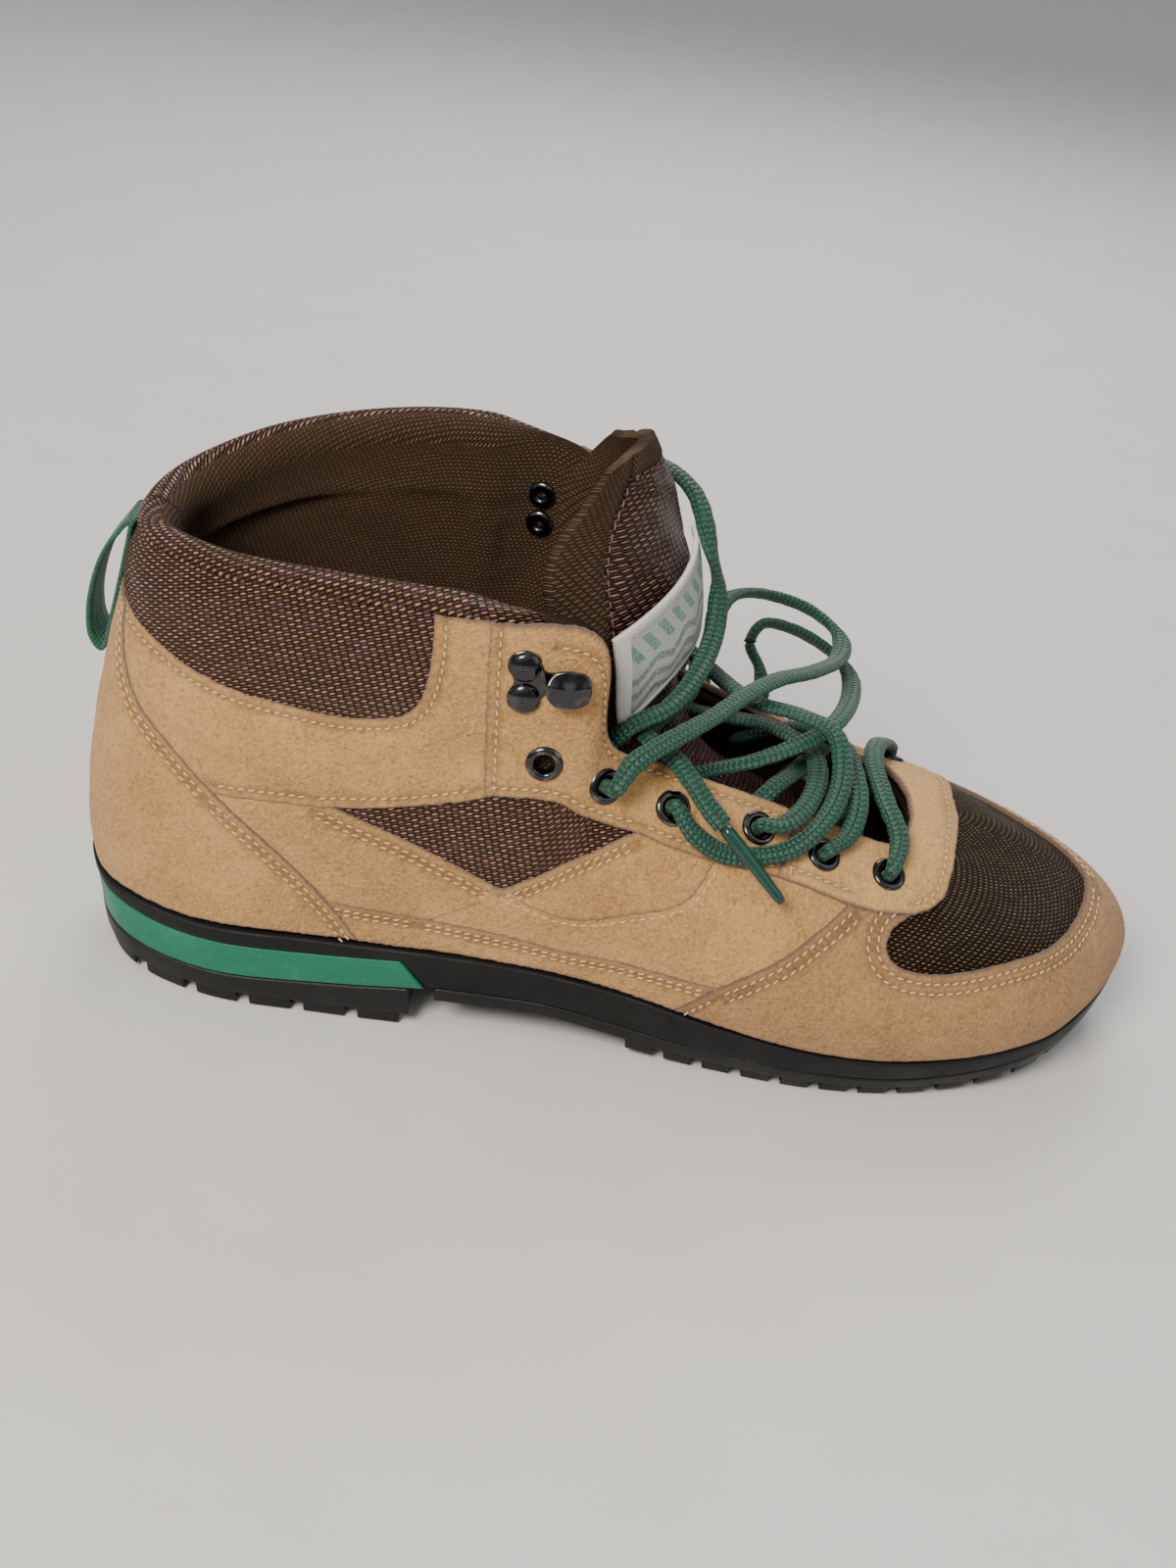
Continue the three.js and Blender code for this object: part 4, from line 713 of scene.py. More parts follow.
def webbing(name, dark, light):
    """Ribbed webbing: fine ribs in two directions, crossing each other."""
    n = Nodes(name)
    split = n.node("ShaderNodeSeparateXYZ", Vector=n.place("UV"))
    across = n.sine(n.times(split[0], 2 * math.pi / 0.0017))
    run = n.sine(n.times(split[1], 2 * math.pi / 0.0011))
    height = n.plus(n.times(across, 0.6), n.times(run, 0.4))
    colour = n.mix(n.range(height, -0.8, 0.9), dark, light)
    colour = n.mix(n.range(n.noise(900, 2), 0.4, 0.7, 0.0, 0.3), colour, tuple(c * 1.5 for c in light))
    return n.finish(Base_Color=colour, Roughness=0.7, Normal=n.bump(height, 0.0003, 0.8), Sheen_Weight=0.2)


def plain(name, colour, roughness, grain=600, relief=0.0002, metallic=0.0, transmission=0.0):
    n = Nodes(name)
    fine = n.noise(grain, 3, 0.6)
    low, high = tuple(c * 0.8 for c in colour), tuple(min(1, c * 1.15) for c in colour)
    mixed = n.mix(n.range(fine, 0.35, 0.7), low, high)
    return n.finish(Base_Color=mixed, Roughness=roughness, Metallic=metallic,
                    Normal=n.bump(fine, relief, 0.6), Transmission_Weight=transmission)


TAN = suede("suede_tan", (0.47, 0.268, 0.102), (0.325, 0.175, 0.063), (0.13, 0.088, 0.07))
TAN_SMOOTH = suede("suede_throat", (0.52, 0.305, 0.118), (0.42, 0.238, 0.088), (0.15, 0.10, 0.08))
TAN_DARK = suede("suede_guard", (0.375, 0.212, 0.090), (0.25, 0.138, 0.058), (0.12, 0.082, 0.066))
# For each weave the first three colours are painted shade in the gaps, the threads' own colour, and a painted
# highlight on the thread tops.
NYLON = weave("nylon_coarse", 0.00125, (0.008, 0.004, 0.002), (0.085, 0.038, 0.017), (0.60, 0.32, 0.15),
              0.0006, 0.36, 0.35, (0.09, 0.025, 0.055), 0.3)
TOE_NYLON = weave("nylon_toe", 0.0010, (0.003, 0.0015, 0.0006), (0.022, 0.011, 0.004), (0.26, 0.16, 0.07),
                  0.0004, 0.45, 0.2, None, 0.15)
TONGUE_NYLON = weave("nylon_tongue", 0.0012, (0.006, 0.003, 0.002), (0.065, 0.028, 0.016), (0.42, 0.23, 0.13),
                     0.0005, 0.38, 0.3, (0.07, 0.02, 0.045), 0.3)
KNIT = weave("lining_knit", 0.00085, (0.018, 0.010, 0.005), (0.075, 0.042, 0.020), (0.21, 0.125, 0.062),
             0.0003, 0.8, 0.5, None, 0.2)
BLACK = moulded("rubber_black", (0.006, 0.006, 0.006), (0.020, 0.019, 0.018), 0.5, 900, 0.0002, 0.3)
FOAM = moulded("foam_black", (0.005, 0.005, 0.005), (0.013, 0.013, 0.012), 0.6, 1300, 0.0002, 0.25)
GREEN = moulded("rubber_green", (0.006, 0.150, 0.082), (0.016, 0.215, 0.125), 0.5, 700, 0.0003)
METAL = lacquer("lacquer_black")
LACE = braid("lace_braid", (0.002, 0.026, 0.014), (0.006, 0.086, 0.048), (0.001, 0.010, 0.006))
WEBBING = webbing("webbing_green", (0.002, 0.045, 0.022), (0.006, 0.135, 0.068))
AGLET = plain("aglet_green", (0.006, 0.060, 0.040), 0.16, 300, 0.00005, 0.0, 0.25)
THREAD = plain("thread_cream", (0.62, 0.43, 0.22), 0.7, 1800, 0.0001)
THREAD_DARK = plain("thread_brown", (0.16, 0.10, 0.055), 0.7, 1800, 0.0001)
BOARD = plain("board_grey", (0.30, 0.27, 0.23), 0.9)
STEEL = plain("steel_plain", (0.5, 0.5, 0.52), 0.35, 400, 0.00005, 0.9)


# ---------------------------------------------------------------- lace: the route's points repeat the CAD's
EYELETS = {1: (9.57, 0.84), 2: (8.78, 0.845), 3: (8.12, 0.85), 4: (7.24, 0.805), 5: (6.14, 0.785),
           6: (4.82, 0.635)}
LACE_DEPTH, LACE_PROUD = 9.5, 3.4
DOWN = [LACE_PROUD, -1.5, -6.2, -9]
UP = DOWN[::-1]
FIT = 0.35
LACE_WIDTH, LACE_THICK = 5.5, 3.0
BUNCHED_WIDTH, BUNCHED_THICK = 3.9, 3.6  # inside an eyelet
ON_FLOOR = 14  # a lace lower than this lies flat on the floor
TURN_RUN = 9  # length over which the flat side may turn
STRAND_SLANT = 1.21


def through(side, number, offsets):
    u, v = EYELETS[number]
    return [skin(u if side == "lateral" else RIB_COUNT - u, v, o).tolist() for o in offsets]


def under(side, number, v):
    u = EYELETS[number][0]
    return [skin(u if side == "lateral" else RIB_COUNT - u, v, -LACE_DEPTH).tolist()]


HELD = [
    *through("medial", 4, DOWN), *under("medial", 4, 0.93), [171, 16, 79], [186, 12, 80], [197, 1, 80.5],
    [199, -12, 80], [195, -25, 77.5], [189, -31, 75.5], *through("lateral", 3, DOWN),
    *under("lateral", 3, 0.94), [187, -14, 75], [195, -2, 75.5], [203, 12, 76], [206, 23, 75.5],
    *through("medial", 2, DOWN), *under("medial", 2, 0.95), [211, 5, 60.5], *under("lateral", 1, 0.95),
    *through("lateral", 1, UP), [222, -21, 69], [218, -10, 74.5], [216, 5, 76.5], [219, 18, 75],
    *through("medial", 1, DOWN), *under("medial", 1, 0.95), [210, -1, 66], *under("lateral", 2, 0.95),
    *through("lateral", 2, UP), [207.5, -25, 70.5], [210, -18, 75.5], [209, -8, 80], [206, 3, 81.5],
    [196, 13, 80], *under("medial", 3, 0.93), *through("medial", 3, UP), [184.5, 35.5, 84.5],
    [180.8, 39, 90.5], [183.8, 42.5, 95.2], [192, 45, 93.8], [203, 45, 89], [209.5, 40, 85.5], [210, 27, 85],
    [203, 4, 87], [193, -8, 86.5], [181, -13.5, 83], [168.5, -13, 77.5], *under("lateral", 4, 0.93),
    *through("lateral", 4, UP), [166, -37.5, 75], [174.6, -37.5, 69.5], [183, -36.5, 69],
    [192.4, -33.5, 70.5], [200, -27, 75], [204.5, -17, 82], [202, -6, 90], [193, -2, 92], [180, 3, 92],
    [165, 20, 94], [152, 34, 98], *through("medial", 5, DOWN), [139.5, 28, 95], [138.5, 28, 106],
    [137, 29.5, 118], [137, 31.5, 128], [140.5, 33.5, 138], [147, 31, 144], [157.5, 22, 141],
    [163.4, 12, 130], [166.8, 12, 120], [167.3, 5.8, 110], [164, -5, 103], [157, -16, 97.5],
    [148.5, -20, 93.5], [142.5, -22, 87], *through("lateral", 5, UP),
]
NEAR_END = [
    *through("lateral", 5, [LACE_PROUD + FIT, 5.6]), [149, -37, 92], [154, -32, 94], [161, -25, 95.5],
    [169, -16, 96.5], [177, -6, 98], [186, 5, 98], [197, 17, 95.5], [205.5, 32, 93], [206, 44, 94],
    [197, 50, 98], [183, 48, 102], [173.5, 39, 104.5], [169, 26, 105], [168, 15, 102], [164.5, 4.5, 97.5],
    [160.5, -6, 94], [155.5, -11.5, 91.5], [152, -17, 90], [154, -21.5, 90], [159.5, -26, 89],
    [164.8, -32, 86], [169, -35.5, 82], [173.6, -38, 78],
]
FAR_END = [
    *through("medial", 4, [LACE_PROUD + FIT, 5.8]), [164, 43, 83], [168, 49, 76], [171, 52.5, 66],
    [174, 55, 52], [177, 55.5, 38], [181, 55.5, 24], [186, 56.5, 11], [194, 59, 3.4], [206, 61, 2],
    [220, 61.5, 2], [234, 60, 2], [244, 57, 2],
]
HOLES = np.array([skin(u if side > 0 else RIB_COUNT - u, v, 0.0)
                  for side in (1, -1) for u, v in EYELETS.values()])


def centripetal(points, step):
    """A centripetal Catmull-Rom line through the points, read at even steps along its length."""
    p = np.asarray(points, float)
    p = np.vstack([2 * p[0] - p[1], p, 2 * p[-1] - p[-2]])
    line = []
    for i in range(1, len(p) - 2):
        q = p[i - 1:i + 3]
        knots = np.concatenate([[0], np.cumsum(np.sqrt(np.linalg.norm(np.diff(q, axis=0), axis=1)))])
        t = np.linspace(knots[1], knots[2], 24, endpoint=False)[:, None]

        def between(a, b, i0, i1):
            span = knots[i1] - knots[i0]
            return (knots[i1] - t) / span * a + (t - knots[i0]) / span * b

        a1, a2, a3 = between(q[0], q[1], 0, 1), between(q[1], q[2], 1, 2), between(q[2], q[3], 2, 3)
        line.append(between(between(a1, a2, 0, 2), between(a2, a3, 1, 3), 1, 2))
    line = np.vstack([*line, p[-2:-1]])
    arc = arc_of(line)
    return read_at(np.linspace(0, arc[-1], int(arc[-1] / step) + 1), arc, line), arc[-1]


def blurred(values, width):
    """Values smoothed along the first axis."""
    kernel = np.hanning(width * 2 + 3)[1:-1]
    padded = np.pad(values, [(width, width)] + [(0, 0)] * (values.ndim - 1), mode="edge")
    return np.apply_along_axis(lambda c: np.convolve(c, kernel / kernel.sum(), "valid"), 0, padded)


def lace_tube(name, points, step=0.8, around=20):
    """A flat-oval braid along a route: it lies flat on what it passes over and bunches up in an eyelet."""
    line, length = centripetal(points, step)
    ahead = unit(np.gradient(line, axis=0))
    core = np.stack([line[:, 0], np.clip(line[:, 1], -14, 14), np.clip(line[:, 2] - 40, 20, 60)], -1)
    wanted = line - core
    wanted[line[:, 2] < ON_FLOOR] = [0, 0.2, 1]
    wanted -= ahead * np.sum(wanted * ahead, 1)[:, None]
    out = unit(blurred(unit(wanted), int(TURN_RUN / step)))
    out = unit(out - ahead * np.sum(out * ahead, 1)[:, None])
    side = np.cross(ahead, out)
    hole = np.min(np.linalg.norm(line[:, None] - HOLES[None], axis=2), 1)
    open_share = np.clip((hole - 3) / 7, 0, 1)
    half_width = (LACE_WIDTH * open_share + BUNCHED_WIDTH * (1 - open_share)) / 2
    half_thick = (LACE_THICK * open_share + BUNCHED_THICK * (1 - open_share)) / 2
    angle = np.linspace(0, 2 * math.pi, around, endpoint=False)
    run = np.arange(len(line)) * step
    slant = run[:, None] * STRAND_SLANT
    strands = np.maximum(np.sin(4 * angle[None] + slant), np.sin(4 * angle[None] - slant))
    swell = 1 + 0.035 * strands
    rings = (line[:, None] + side[:, None] * (half_width[:, None] * np.cos(angle) * swell)[..., None]
             + out[:, None] * (half_thick[:, None] * np.sin(angle) * swell)[..., None])
    points3 = np.vstack([rings.reshape(-1, 3), line[:1], line[-1:]])
    faces = turned(points3, tube_faces(len(line), around))
    uv = np.stack(np.meshgrid(run * MM, np.arange(around) / around, indexing="ij")[::-1], -1).reshape(-1, 2)
    uv = np.vstack([uv, [0, 0], [0, run[-1] * MM]])
    return new_object(name, points3, faces, uv), line, length


def aglet_at(name, points, length=24.0):
    """A plastic tip, in line with the last two points of a lace's route."""
    rows, around = 13, 20
    before, end = np.asarray(points[-2:], float)
    ahead = unit(end - before)
    start = end + ahead * FIT
    stations = np.linspace(0, 1, rows)
    radius = np.interp(stations, [0, 0.04, 0.25, 0.96, 1], [1.55, 1.75, 1.8, 1.35, 1.05])
    side = unit(np.cross(ahead, [0.3, 0.2, 1.0]))
    up = np.cross(ahead, side)
    angle = np.linspace(0, 2 * math.pi, around, endpoint=False)
    ring = np.cos(angle)[:, None] * side + np.sin(angle)[:, None] * up
    rings = start + ahead * (stations * length)[:, None, None] + ring[None] * radius[:, None, None]
    points3 = np.vstack([rings.reshape(-1, 3), start, start + ahead * length])
    return new_object(name, points3, turned(points3, tube_faces(rows, around)))


def make_laces():
    held, _, _ = lace_tube("lace_held", HELD)
    dress(held, LACE, "boot", "lace", ["lace_threaded"])
    for name, points, node, tip in (("lace_near_end", NEAR_END, "lace_end_lateral", "aglet_lateral"),
                                    ("lace_far_end", FAR_END, "lace_end_medial", "aglet_medial")):
        piece, line, length = lace_tube(name, points)
        dress(piece, LACE, "boot", "lace", [node])
        end = dress(aglet_at(tip + "_clear", points), AGLET, "boot", "aglet", [tip])
        to_frame(points[0]).tolist()
        to_frame(line[::3]).tolist()


make_laces()


# ---------------------------------------------------------------- upper: suede and nylon panels
STITCHES = []
STITCH_SINK = 0.1
ROW_START, ROW_END = 2.4, 2.0  # how far a row of stitches keeps from its seam's ends
HOLE_RADIUS, HOLE_REACH = 3.3, 8.0  # of the cutters that open a panel for its eyelets
EDGE_BAND, GROOVE_SHADE_BAND = 1.9, 1.1  # how far the cut edge's fuzz and the painted shade along a row of stitches spread
LEVEL = {"nylon": -0.35, "quarter": 0.0, "rear": 0.1, "saddle": 0.15, "band": 0.3, "rand": 0.45,
         "eyestay": 0.6, "counter": 0.75, "guard": 0.85, "throat": 1.15}


def stitch_places(p, arc, spots):
    """Where each stitch lies on a track, and which way it runs."""
    return read_at(spots, arc, p), unit(read_at(spots + 0.5, arc, p) - read_at(spots - 0.5, arc, p))


def sew(line, side, on, pitch=2.6, length=1.75, width=0.62):
    """A row of stitches beside a seam line, on a panel's level."""
    track = along(line, side) if side else line
    u, v = track[:, 0] / RIB_SPAN, track[:, 1] / WALL_SPAN
    p = skin(u, v, np.full(len(u), LEVEL[on] - STITCH_SINK))
    arc = arc_of(p)
    spots = np.arange(ROW_START, arc[-1] - ROW_END, pitch)
    out = skin_normal(np.interp(spots, arc, u), np.interp(spots, arc, v))
    STITCHES.append((*stitch_places(p, arc, spots), out, length, width))
    return track


def bead_rows(rows):
    """Rows of stitches as one mesh; each stitch is a short bead of thread."""
    around = 6
    ring = np.linspace(0, 2 * math.pi, around, endpoint=False)
    shape = []
    for share, radius in ((-0.42, 0.75), (-0.2, 1.0), (0.2, 1.0), (0.42, 0.75)):
        shape.append(np.stack([np.full(around, share), np.cos(ring) * radius, np.sin(ring) * radius], -1))
    faces = tube_faces(len(shape), around)
    shape = np.vstack([*shape, [[-0.5, 0, 0]], [[0.5, 0, 0]]])
    faces = np.array([f + [f[-1]] if len(f) == 3 else f for f in faces])
    points, polygons, first = [], [], 0
    for centre, ahead, out, length, width in rows:
        side = np.cross(out, ahead)
        tilt = unit(ahead + side * 0.16)
        local = (tilt[:, None] * shape[None, :, :1] * length
                 + side[:, None] * shape[None, :, 1:2] * width * 0.5
                 + out[:, None] * shape[None, :, 2:] * width * 0.42)
        points.append((centre[:, None] + local).reshape(-1, 3))
        for i in range(len(centre)):
            polygons.append(faces + first + i * len(shape))
        first += len(centre) * len(shape)
    polygons = [list(dict.fromkeys(f)) for f in np.vstack(polygons).tolist()]
    return np.vstack(points), polygons


def chain(*parts, turn="outer"):
    """Seams joined into one closed outline. A seam goes by its name, after "-" if it runs backwards and
    "inner:" or "behind:" if it isn't on the outline's own side; a line can also be given as points."""
    lines = []
    for part in parts:
        if isinstance(part, str):
            where, _, name = part.lstrip("-").rpartition(":")
            line = seam(name, where or turn)
            part = line[::-1] if part[0] == "-" else line
        lines.append(part)
    points = [lines[0][0]]
    for line in lines:
        for p in line:
            if np.linalg.norm(p - points[-1]) > 0.4:
                points.append(p)
    if np.linalg.norm(points[0] - points[-1]) < 0.4:
        points.pop()
    return np.array(points)


def panel(name, outline, on, material, slot, node, grow=0.0, lines=(), holes=(), thickness=1.8, puff=0.3):
    """A panel of the upper; its outer face stands at its level over the skin."""
    height = LEVEL[on]
    if area(outline) < 0:
        outline = outline[::-1]
    if grow:
        outline = inset(outline, -grow)

    def place(flat, depth):
        return skin(flat[:, 0] / RIB_SPAN, flat[:, 1] / WALL_SPAN, height - depth)

    outline = frayed(outline)
    points, faces, flats, edge, sewn = plate(outline, 2.4, place, thickness, 0.6, lines, groove=0.32,
                                             wall_steps=2, ripple=0.16, puff=puff)
    uv = skin_uv(flats[:, 0] / RIB_SPAN, flats[:, 1] / WALL_SPAN)
    # edge drives the cut edge's fuzz; sewn drives the painted shade along the rows of stitches
    values = {"edge": np.clip(edge / EDGE_BAND, 0, 1), "sewn": np.clip(sewn / GROOVE_SHADE_BAND, 0, 1)}
    piece = new_object(name, points, faces, uv, values)
    if holes:
        punch(piece, holes)
    dress(piece, material, "boot", slot, [node])


def frayed(outline):
    """The outline with the small unevenness of a cut leather edge."""
    line = even_outline(outline, 1.3)
    rough = np.random.default_rng(len(line)).normal(0, 0.09, len(line))
    away = inset(line, 1.0) - line
    return line + away * rough[:, None]


def punch(piece, holes):
    """Round holes through a panel, cut with cylinders."""
    around, z = 24, HOLE_REACH
    angle = np.linspace(0, 2 * math.pi, around, endpoint=False)
    ring = np.stack([np.cos(angle) * HOLE_RADIUS, np.sin(angle) * HOLE_RADIUS], -1)
    column = np.vstack([np.column_stack([ring, np.full(around, end)]) for end in (-z, z)]
                       + [[[0, 0, -z], [0, 0, z]]])
    points, faces = merge([(place_on_skin(column, u, v), tube_faces(2, around)) for u, v in holes])
    cutter = new_object("cutter", points, turned(points, faces))
    cut = piece.modifiers.new("cut", "BOOLEAN")
    cut.object, cut.operation, cut.solver = cutter, "DIFFERENCE", "EXACT"
    bpy.context.view_layer.update()
    evaluated = piece.evaluated_get(bpy.context.evaluated_depsgraph_get())
    mesh = bpy.data.meshes.new_from_object(evaluated)
    piece.modifiers.clear()
    piece.data = mesh
    bpy.data.objects.remove(cutter)


def make_upper():
    """The panels that cross the boot's middle; the others are made for each side."""
    both = (("outer", 1), ("inner", -1))
    rows = [sew(seam(n, t), g * sign, "counter")
            for n in ("counter_low", "counter_high") for t, sign in both for g in (2.2, 4.2)]
    rows += [sew(seam("collar_top", t), 2.2 * sign, "counter", 2.4, 1.6) for t, sign in both]
    panel("heel_counter_suede",
          chain("counter_low", "counter_high", "collar_top", "-behind:collar_top", "-behind:counter_high",
                "-behind:counter_low", level(-3.38, 3.38, BASE)),
          "counter", TAN, "suede", "heel_counter", lines=[wrapped(row) for row in rows])
    panel("collar_nylon_weave",
          chain("collar_low", "collar_top", "-behind:collar_top", "-behind:collar_low",
                level(-ARM, ARM, EDGE)),
          "nylon", NYLON, "nylon", "collar_nylon", 2.2, thickness=1.5, puff=1.9)
    make_side("outer", "lateral", 1)
    make_side("inner", "medial", -1)
    holes = [EYELETS[1], EYELETS[2]]
    holes += [(RIB_COUNT - u, v) for u, v in holes]
    rows = []
    for turn, sign in both:
        rows.append(sew(seam("low_throat", turn), sign * 3.2, "throat"))
        rows.append(sew(seam("throat_rear", turn), -sign * 2.4, "throat"))
    rows.append(sew(seam("throat_front"), 2.4, "throat"))
    panel("throat_piece_suede",
          chain("throat_rear", level(YOKE, RIB_COUNT - YOKE, EDGE), "-inner:throat_rear", "inner:low_throat",
                "inner:guard_top", "-throat_front", "-guard_top", "-low_throat"),
          "throat", TAN_SMOOTH, "suede", "throat_piece", 0.3, rows, holes)
    rows = [sew(seam("guard_high", t), -sign * g, "guard") for t, sign in both for g in (2.2, 4.6)]
    rows += [sew(seam("guard_low", t), -sign * 2.4, "guard") for t, sign in both]
    rows += [sew(seam(n), -g, "guard") for n in ("toe_outer", "toe_inner") for g in (2.6, 5.2)]
    panel("toe_guard_suede",
          chain("guard_low", "guard_high", "guard_top", "toe_outer", "toe_inner", "-inner:guard_top",
                "-inner:guard_high", "-inner:guard_low", level(RIB_COUNT - 7.56, 7.56, BASE)),
          "guard", TAN_DARK, "suede_dark", "toe_guard", lines=rows)
    panel("toe_nylon_weave", chain("toe_outer", "toe_inner", "-throat_front"),
          "nylon", TOE_NYLON, "nylon", "toe_nylon", 2.0, thickness=1.5)


def wrapped(line):
    """A row on the inner side, counted back from the heel's middle."""
    if line[:, 0].mean() > RIB_COUNT * RIB_SPAN / 2:
        return line - [RIB_COUNT * RIB_SPAN, 0]
    return line


def make_side(turn, tag, sign):
    def row(name, side, on, *sizes):
        return sew(seam(name, turn), sign * side, on, *sizes)

    def side_panel(name, outline, on, node, grow, rows=(), material=TAN, slot="suede", **more):
        panel(f"{name}_{tag}", chain(*outline, turn=turn), on, material, slot, f"{node}_{tag}", grow, rows,
              **more)

    rows = [row("collar_low", 2.2, "band", 2.3, 1.5), row("band_front", 2.0, "band"),
            row("band_rear", 2.0, "band")]
    side_panel("collar_band_suede",
               ["counter_high", "-collar_low", level(ARM, POST, EDGE, turn), "-eyestay_rear", "-band_front",
                "-band_rear"], "band", "collar_band", 0.8, rows)
    rows = [row("eyestay_rear", -2.4, "eyestay")]
    rows += [row(name, 2.4, "eyestay") for name in ("low_window", "low_saddle", "low_front")]
    rows += [sew(level(4.6, YOKE - 0.1, 0.94, turn), 0, "eyestay")]
    holes = [EYELETS[k] if sign > 0 else (RIB_COUNT - EYELETS[k][0], EYELETS[k][1]) for k in (3, 4, 5, 6)]
    side_panel("eyestay_suede",
               ["eyestay_rear", level(POST, YOKE, EDGE, turn), "-throat_rear", "-low_front", "-low_saddle",
                "-low_window"], "eyestay", "eyestay", 0.3, rows, holes=holes)
    side_panel("window_weave", ["band_front", "low_window", "-window_front", "window_rear"],
               "nylon", "quarter_window", 2.0, material=NYLON, slot="nylon", thickness=1.5, puff=0.5)
    rows = [row("window_rear", g, "rear") for g in (1.7, 3.5)]
    side_panel("rear_quarter_suede",
               ["band_rear", "-window_rear", "saddle_rear", "-rand_rear", seam("counter_low", turn)[6:]],
               "rear", "rear_quarter", 1.4, rows)
    rows = [row("window_front", -g, "saddle") for g in (1.7, 3.5)] + [row("saddle_arc", 2.0, "saddle")]
    side_panel("saddle_suede", ["window_front", "low_saddle", "saddle_arc"], "saddle", "saddle", 0.8, rows)
    side_panel("fore_quarter_suede",
               ["-saddle_arc", "low_front", "low_throat", "-guard_high", "-rand_front", "-saddle_rear"],
               "quarter", "fore_quarter", 1.8)
    rows = [row(name, -g, "rand") for name in ("rand_front", "rand_rear") for g in (1.6, 3.2)]
    side_panel("rand_suede", ["rand_rear", "rand_front", "-guard_low", level(7.56, 3.38, BASE, turn)],
               "rand", "rand", 0.5, rows)


make_upper()
_points, _faces = bead_rows(STITCHES)
dress(new_object("upper_stitches", _points, _faces), THREAD, "boot", "suede")


# ---------------------------------------------------------------- padded collar and lining
def smoothstep(low, high, x):
    t = np.clip((x - low) / (high - low), 0, 1)
    return t * t * (3 - 2 * t)


def collar_share(u):
    """1 where the collar is padded, 0 at the lacing."""
    from_heel = np.minimum(np.mod(u, RIB_COUNT), RIB_COUNT - np.mod(u, RIB_COUNT))
    return 1 - smoothstep(3.8, 4.5, from_heel)


SUEDE = 1.8
LINING_TOP = SUEDE + 0.9
LINING_SKIN, COLLAR_PAD, COLLAR_ROLL = 1.6, 6.5, 3.2
PIPING = 1.75  # where the roll's nylon meets the knit, as an angle over the roll
RIM = 0.975  # where the panels' backs end and the roll starts
FOOT = (0.03, 0.25)  # the lining's outer face, low down
PAD_ROWS, PAD_COLUMNS = np.linspace(0.875, 0.36, 26), 150


def pad_depth(share, v):
    return COLLAR_PAD * share * smoothstep(0.4, 0.82, v)


def collar_moves():
    """The foam collar's inside, pinned at the seam under the roll, at its foot and at the lacing."""
    u = np.linspace(0, RIB_COUNT, PAD_COLUMNS, endpoint=False)
    uu, vv = np.meshgrid(u, PAD_ROWS)
    share = collar_share(uu)
    grid = skin(uu, vv, -LINING_TOP - LINING_SKIN - pad_depth(share, vv))
    pinned = (share < 0.1).astype(float)
    pinned[0], pinned[-1] = 1, 1
    return inflated(grid, pinned, True)


def make_lining():
    """The knit lining: up behind the panels, over the padded roll and down the inside to the footbed."""
    around, behind, over = 420, 10, 25
    u = np.linspace(0, RIB_COUNT, around, endpoint=False)
    share = collar_share(u)
    rows, vs = [], []
    for v in np.linspace(0.5, RIM, behind):
        rows.append(skin(u, np.full(around, v), np.full(around, -LINING_TOP + 0.4)))
        vs.append(v)
    depth = LINING_SKIN + COLLAR_PAD * share
    rim = RIM + 0.02 * (1 - share)
    from_heel = np.minimum(u, RIB_COUNT - u)
    crown = 0.7 + 2.0 * (1 - smoothstep(4.2, 5.0, from_heel)) + (COLLAR_ROLL - 0.4) * share
    start = -LINING_TOP + 0.4 + 2.0 * share
    for a in np.linspace(0, math.pi, over):
        round_out = 0.9 * share * math.sin(min(a * 2, math.pi)) * (a < math.pi / 2)
        across = start + round_out - (depth + 0.4 + 2.0 * share) * (1 - math.cos(a)) / 2
        top = 0.022 * share if a < 1.3 else 0.022 * share * (math.pi - a) / (math.pi - 1.3)
        p = skin(u, rim + top, across)
        p[:, 2] += crown * math.sin(a) ** 0.75 - 0.55 * share * math.exp(-((a - PIPING) / 0.09) ** 2)
        rows.append(p)
        vs.append(1.0 + a * 0.04)
    moves = collar_moves()
    for v in np.linspace(0.955, FOOT[0], 60):
        ridge = 0.9 * share * np.exp(-((v - PAD_ROWS[0]) / 0.009) ** 2)
        wall = skin(u, np.full(around, v), -LINING_TOP - LINING_SKIN - pad_depth(share, v) - ridge)
        place = np.full(around, (PAD_ROWS[0] - v) / (PAD_ROWS[0] - PAD_ROWS[-1]) * (len(PAD_ROWS) - 1))
        inside_pad = (PAD_ROWS[-1] <= v <= PAD_ROWS[0]) * 1.0
        rows.append(wall + inside_pad * resampled(moves, place, u / RIB_COUNT * PAD_COLUMNS, True))
        vs.append(1.16 + (0.955 - v))
    count = len(rows)
    faces = grid_faces(count, around, False, True)
    rows += [skin(u, np.full(around, v), np.full(around, -LINING_TOP)) for v in FOOT]
    points = np.array(rows).reshape(-1, 3)
    first, last = count * around, (count - 1) * around
    for j in range(around):
        k = (j + 1) % around
        faces.append([last + j, last + k, first + k, first + j])
        faces.append([first + j, first + k, first + around + k, first + around + j])
        faces.append([first + around + j, first + around + k, k, j])
    uv = np.array([skin_uv(u, np.full(around, v)) for v in (*vs, *FOOT)]).reshape(-1, 2)
    piece = new_object("collar_lining_knit", points, turned(points, faces), uv)
    dress(piece, [KNIT, NYLON], "boot", "lining", ["lining"])
    outer_rows = behind + int(over * PIPING / math.pi)
    for polygon in piece.data.polygons:
        row, column = divmod(min(polygon.vertices), around)
        if row < outer_rows and share[column] > 0.02:
            polygon.material_index = 1


make_lining()


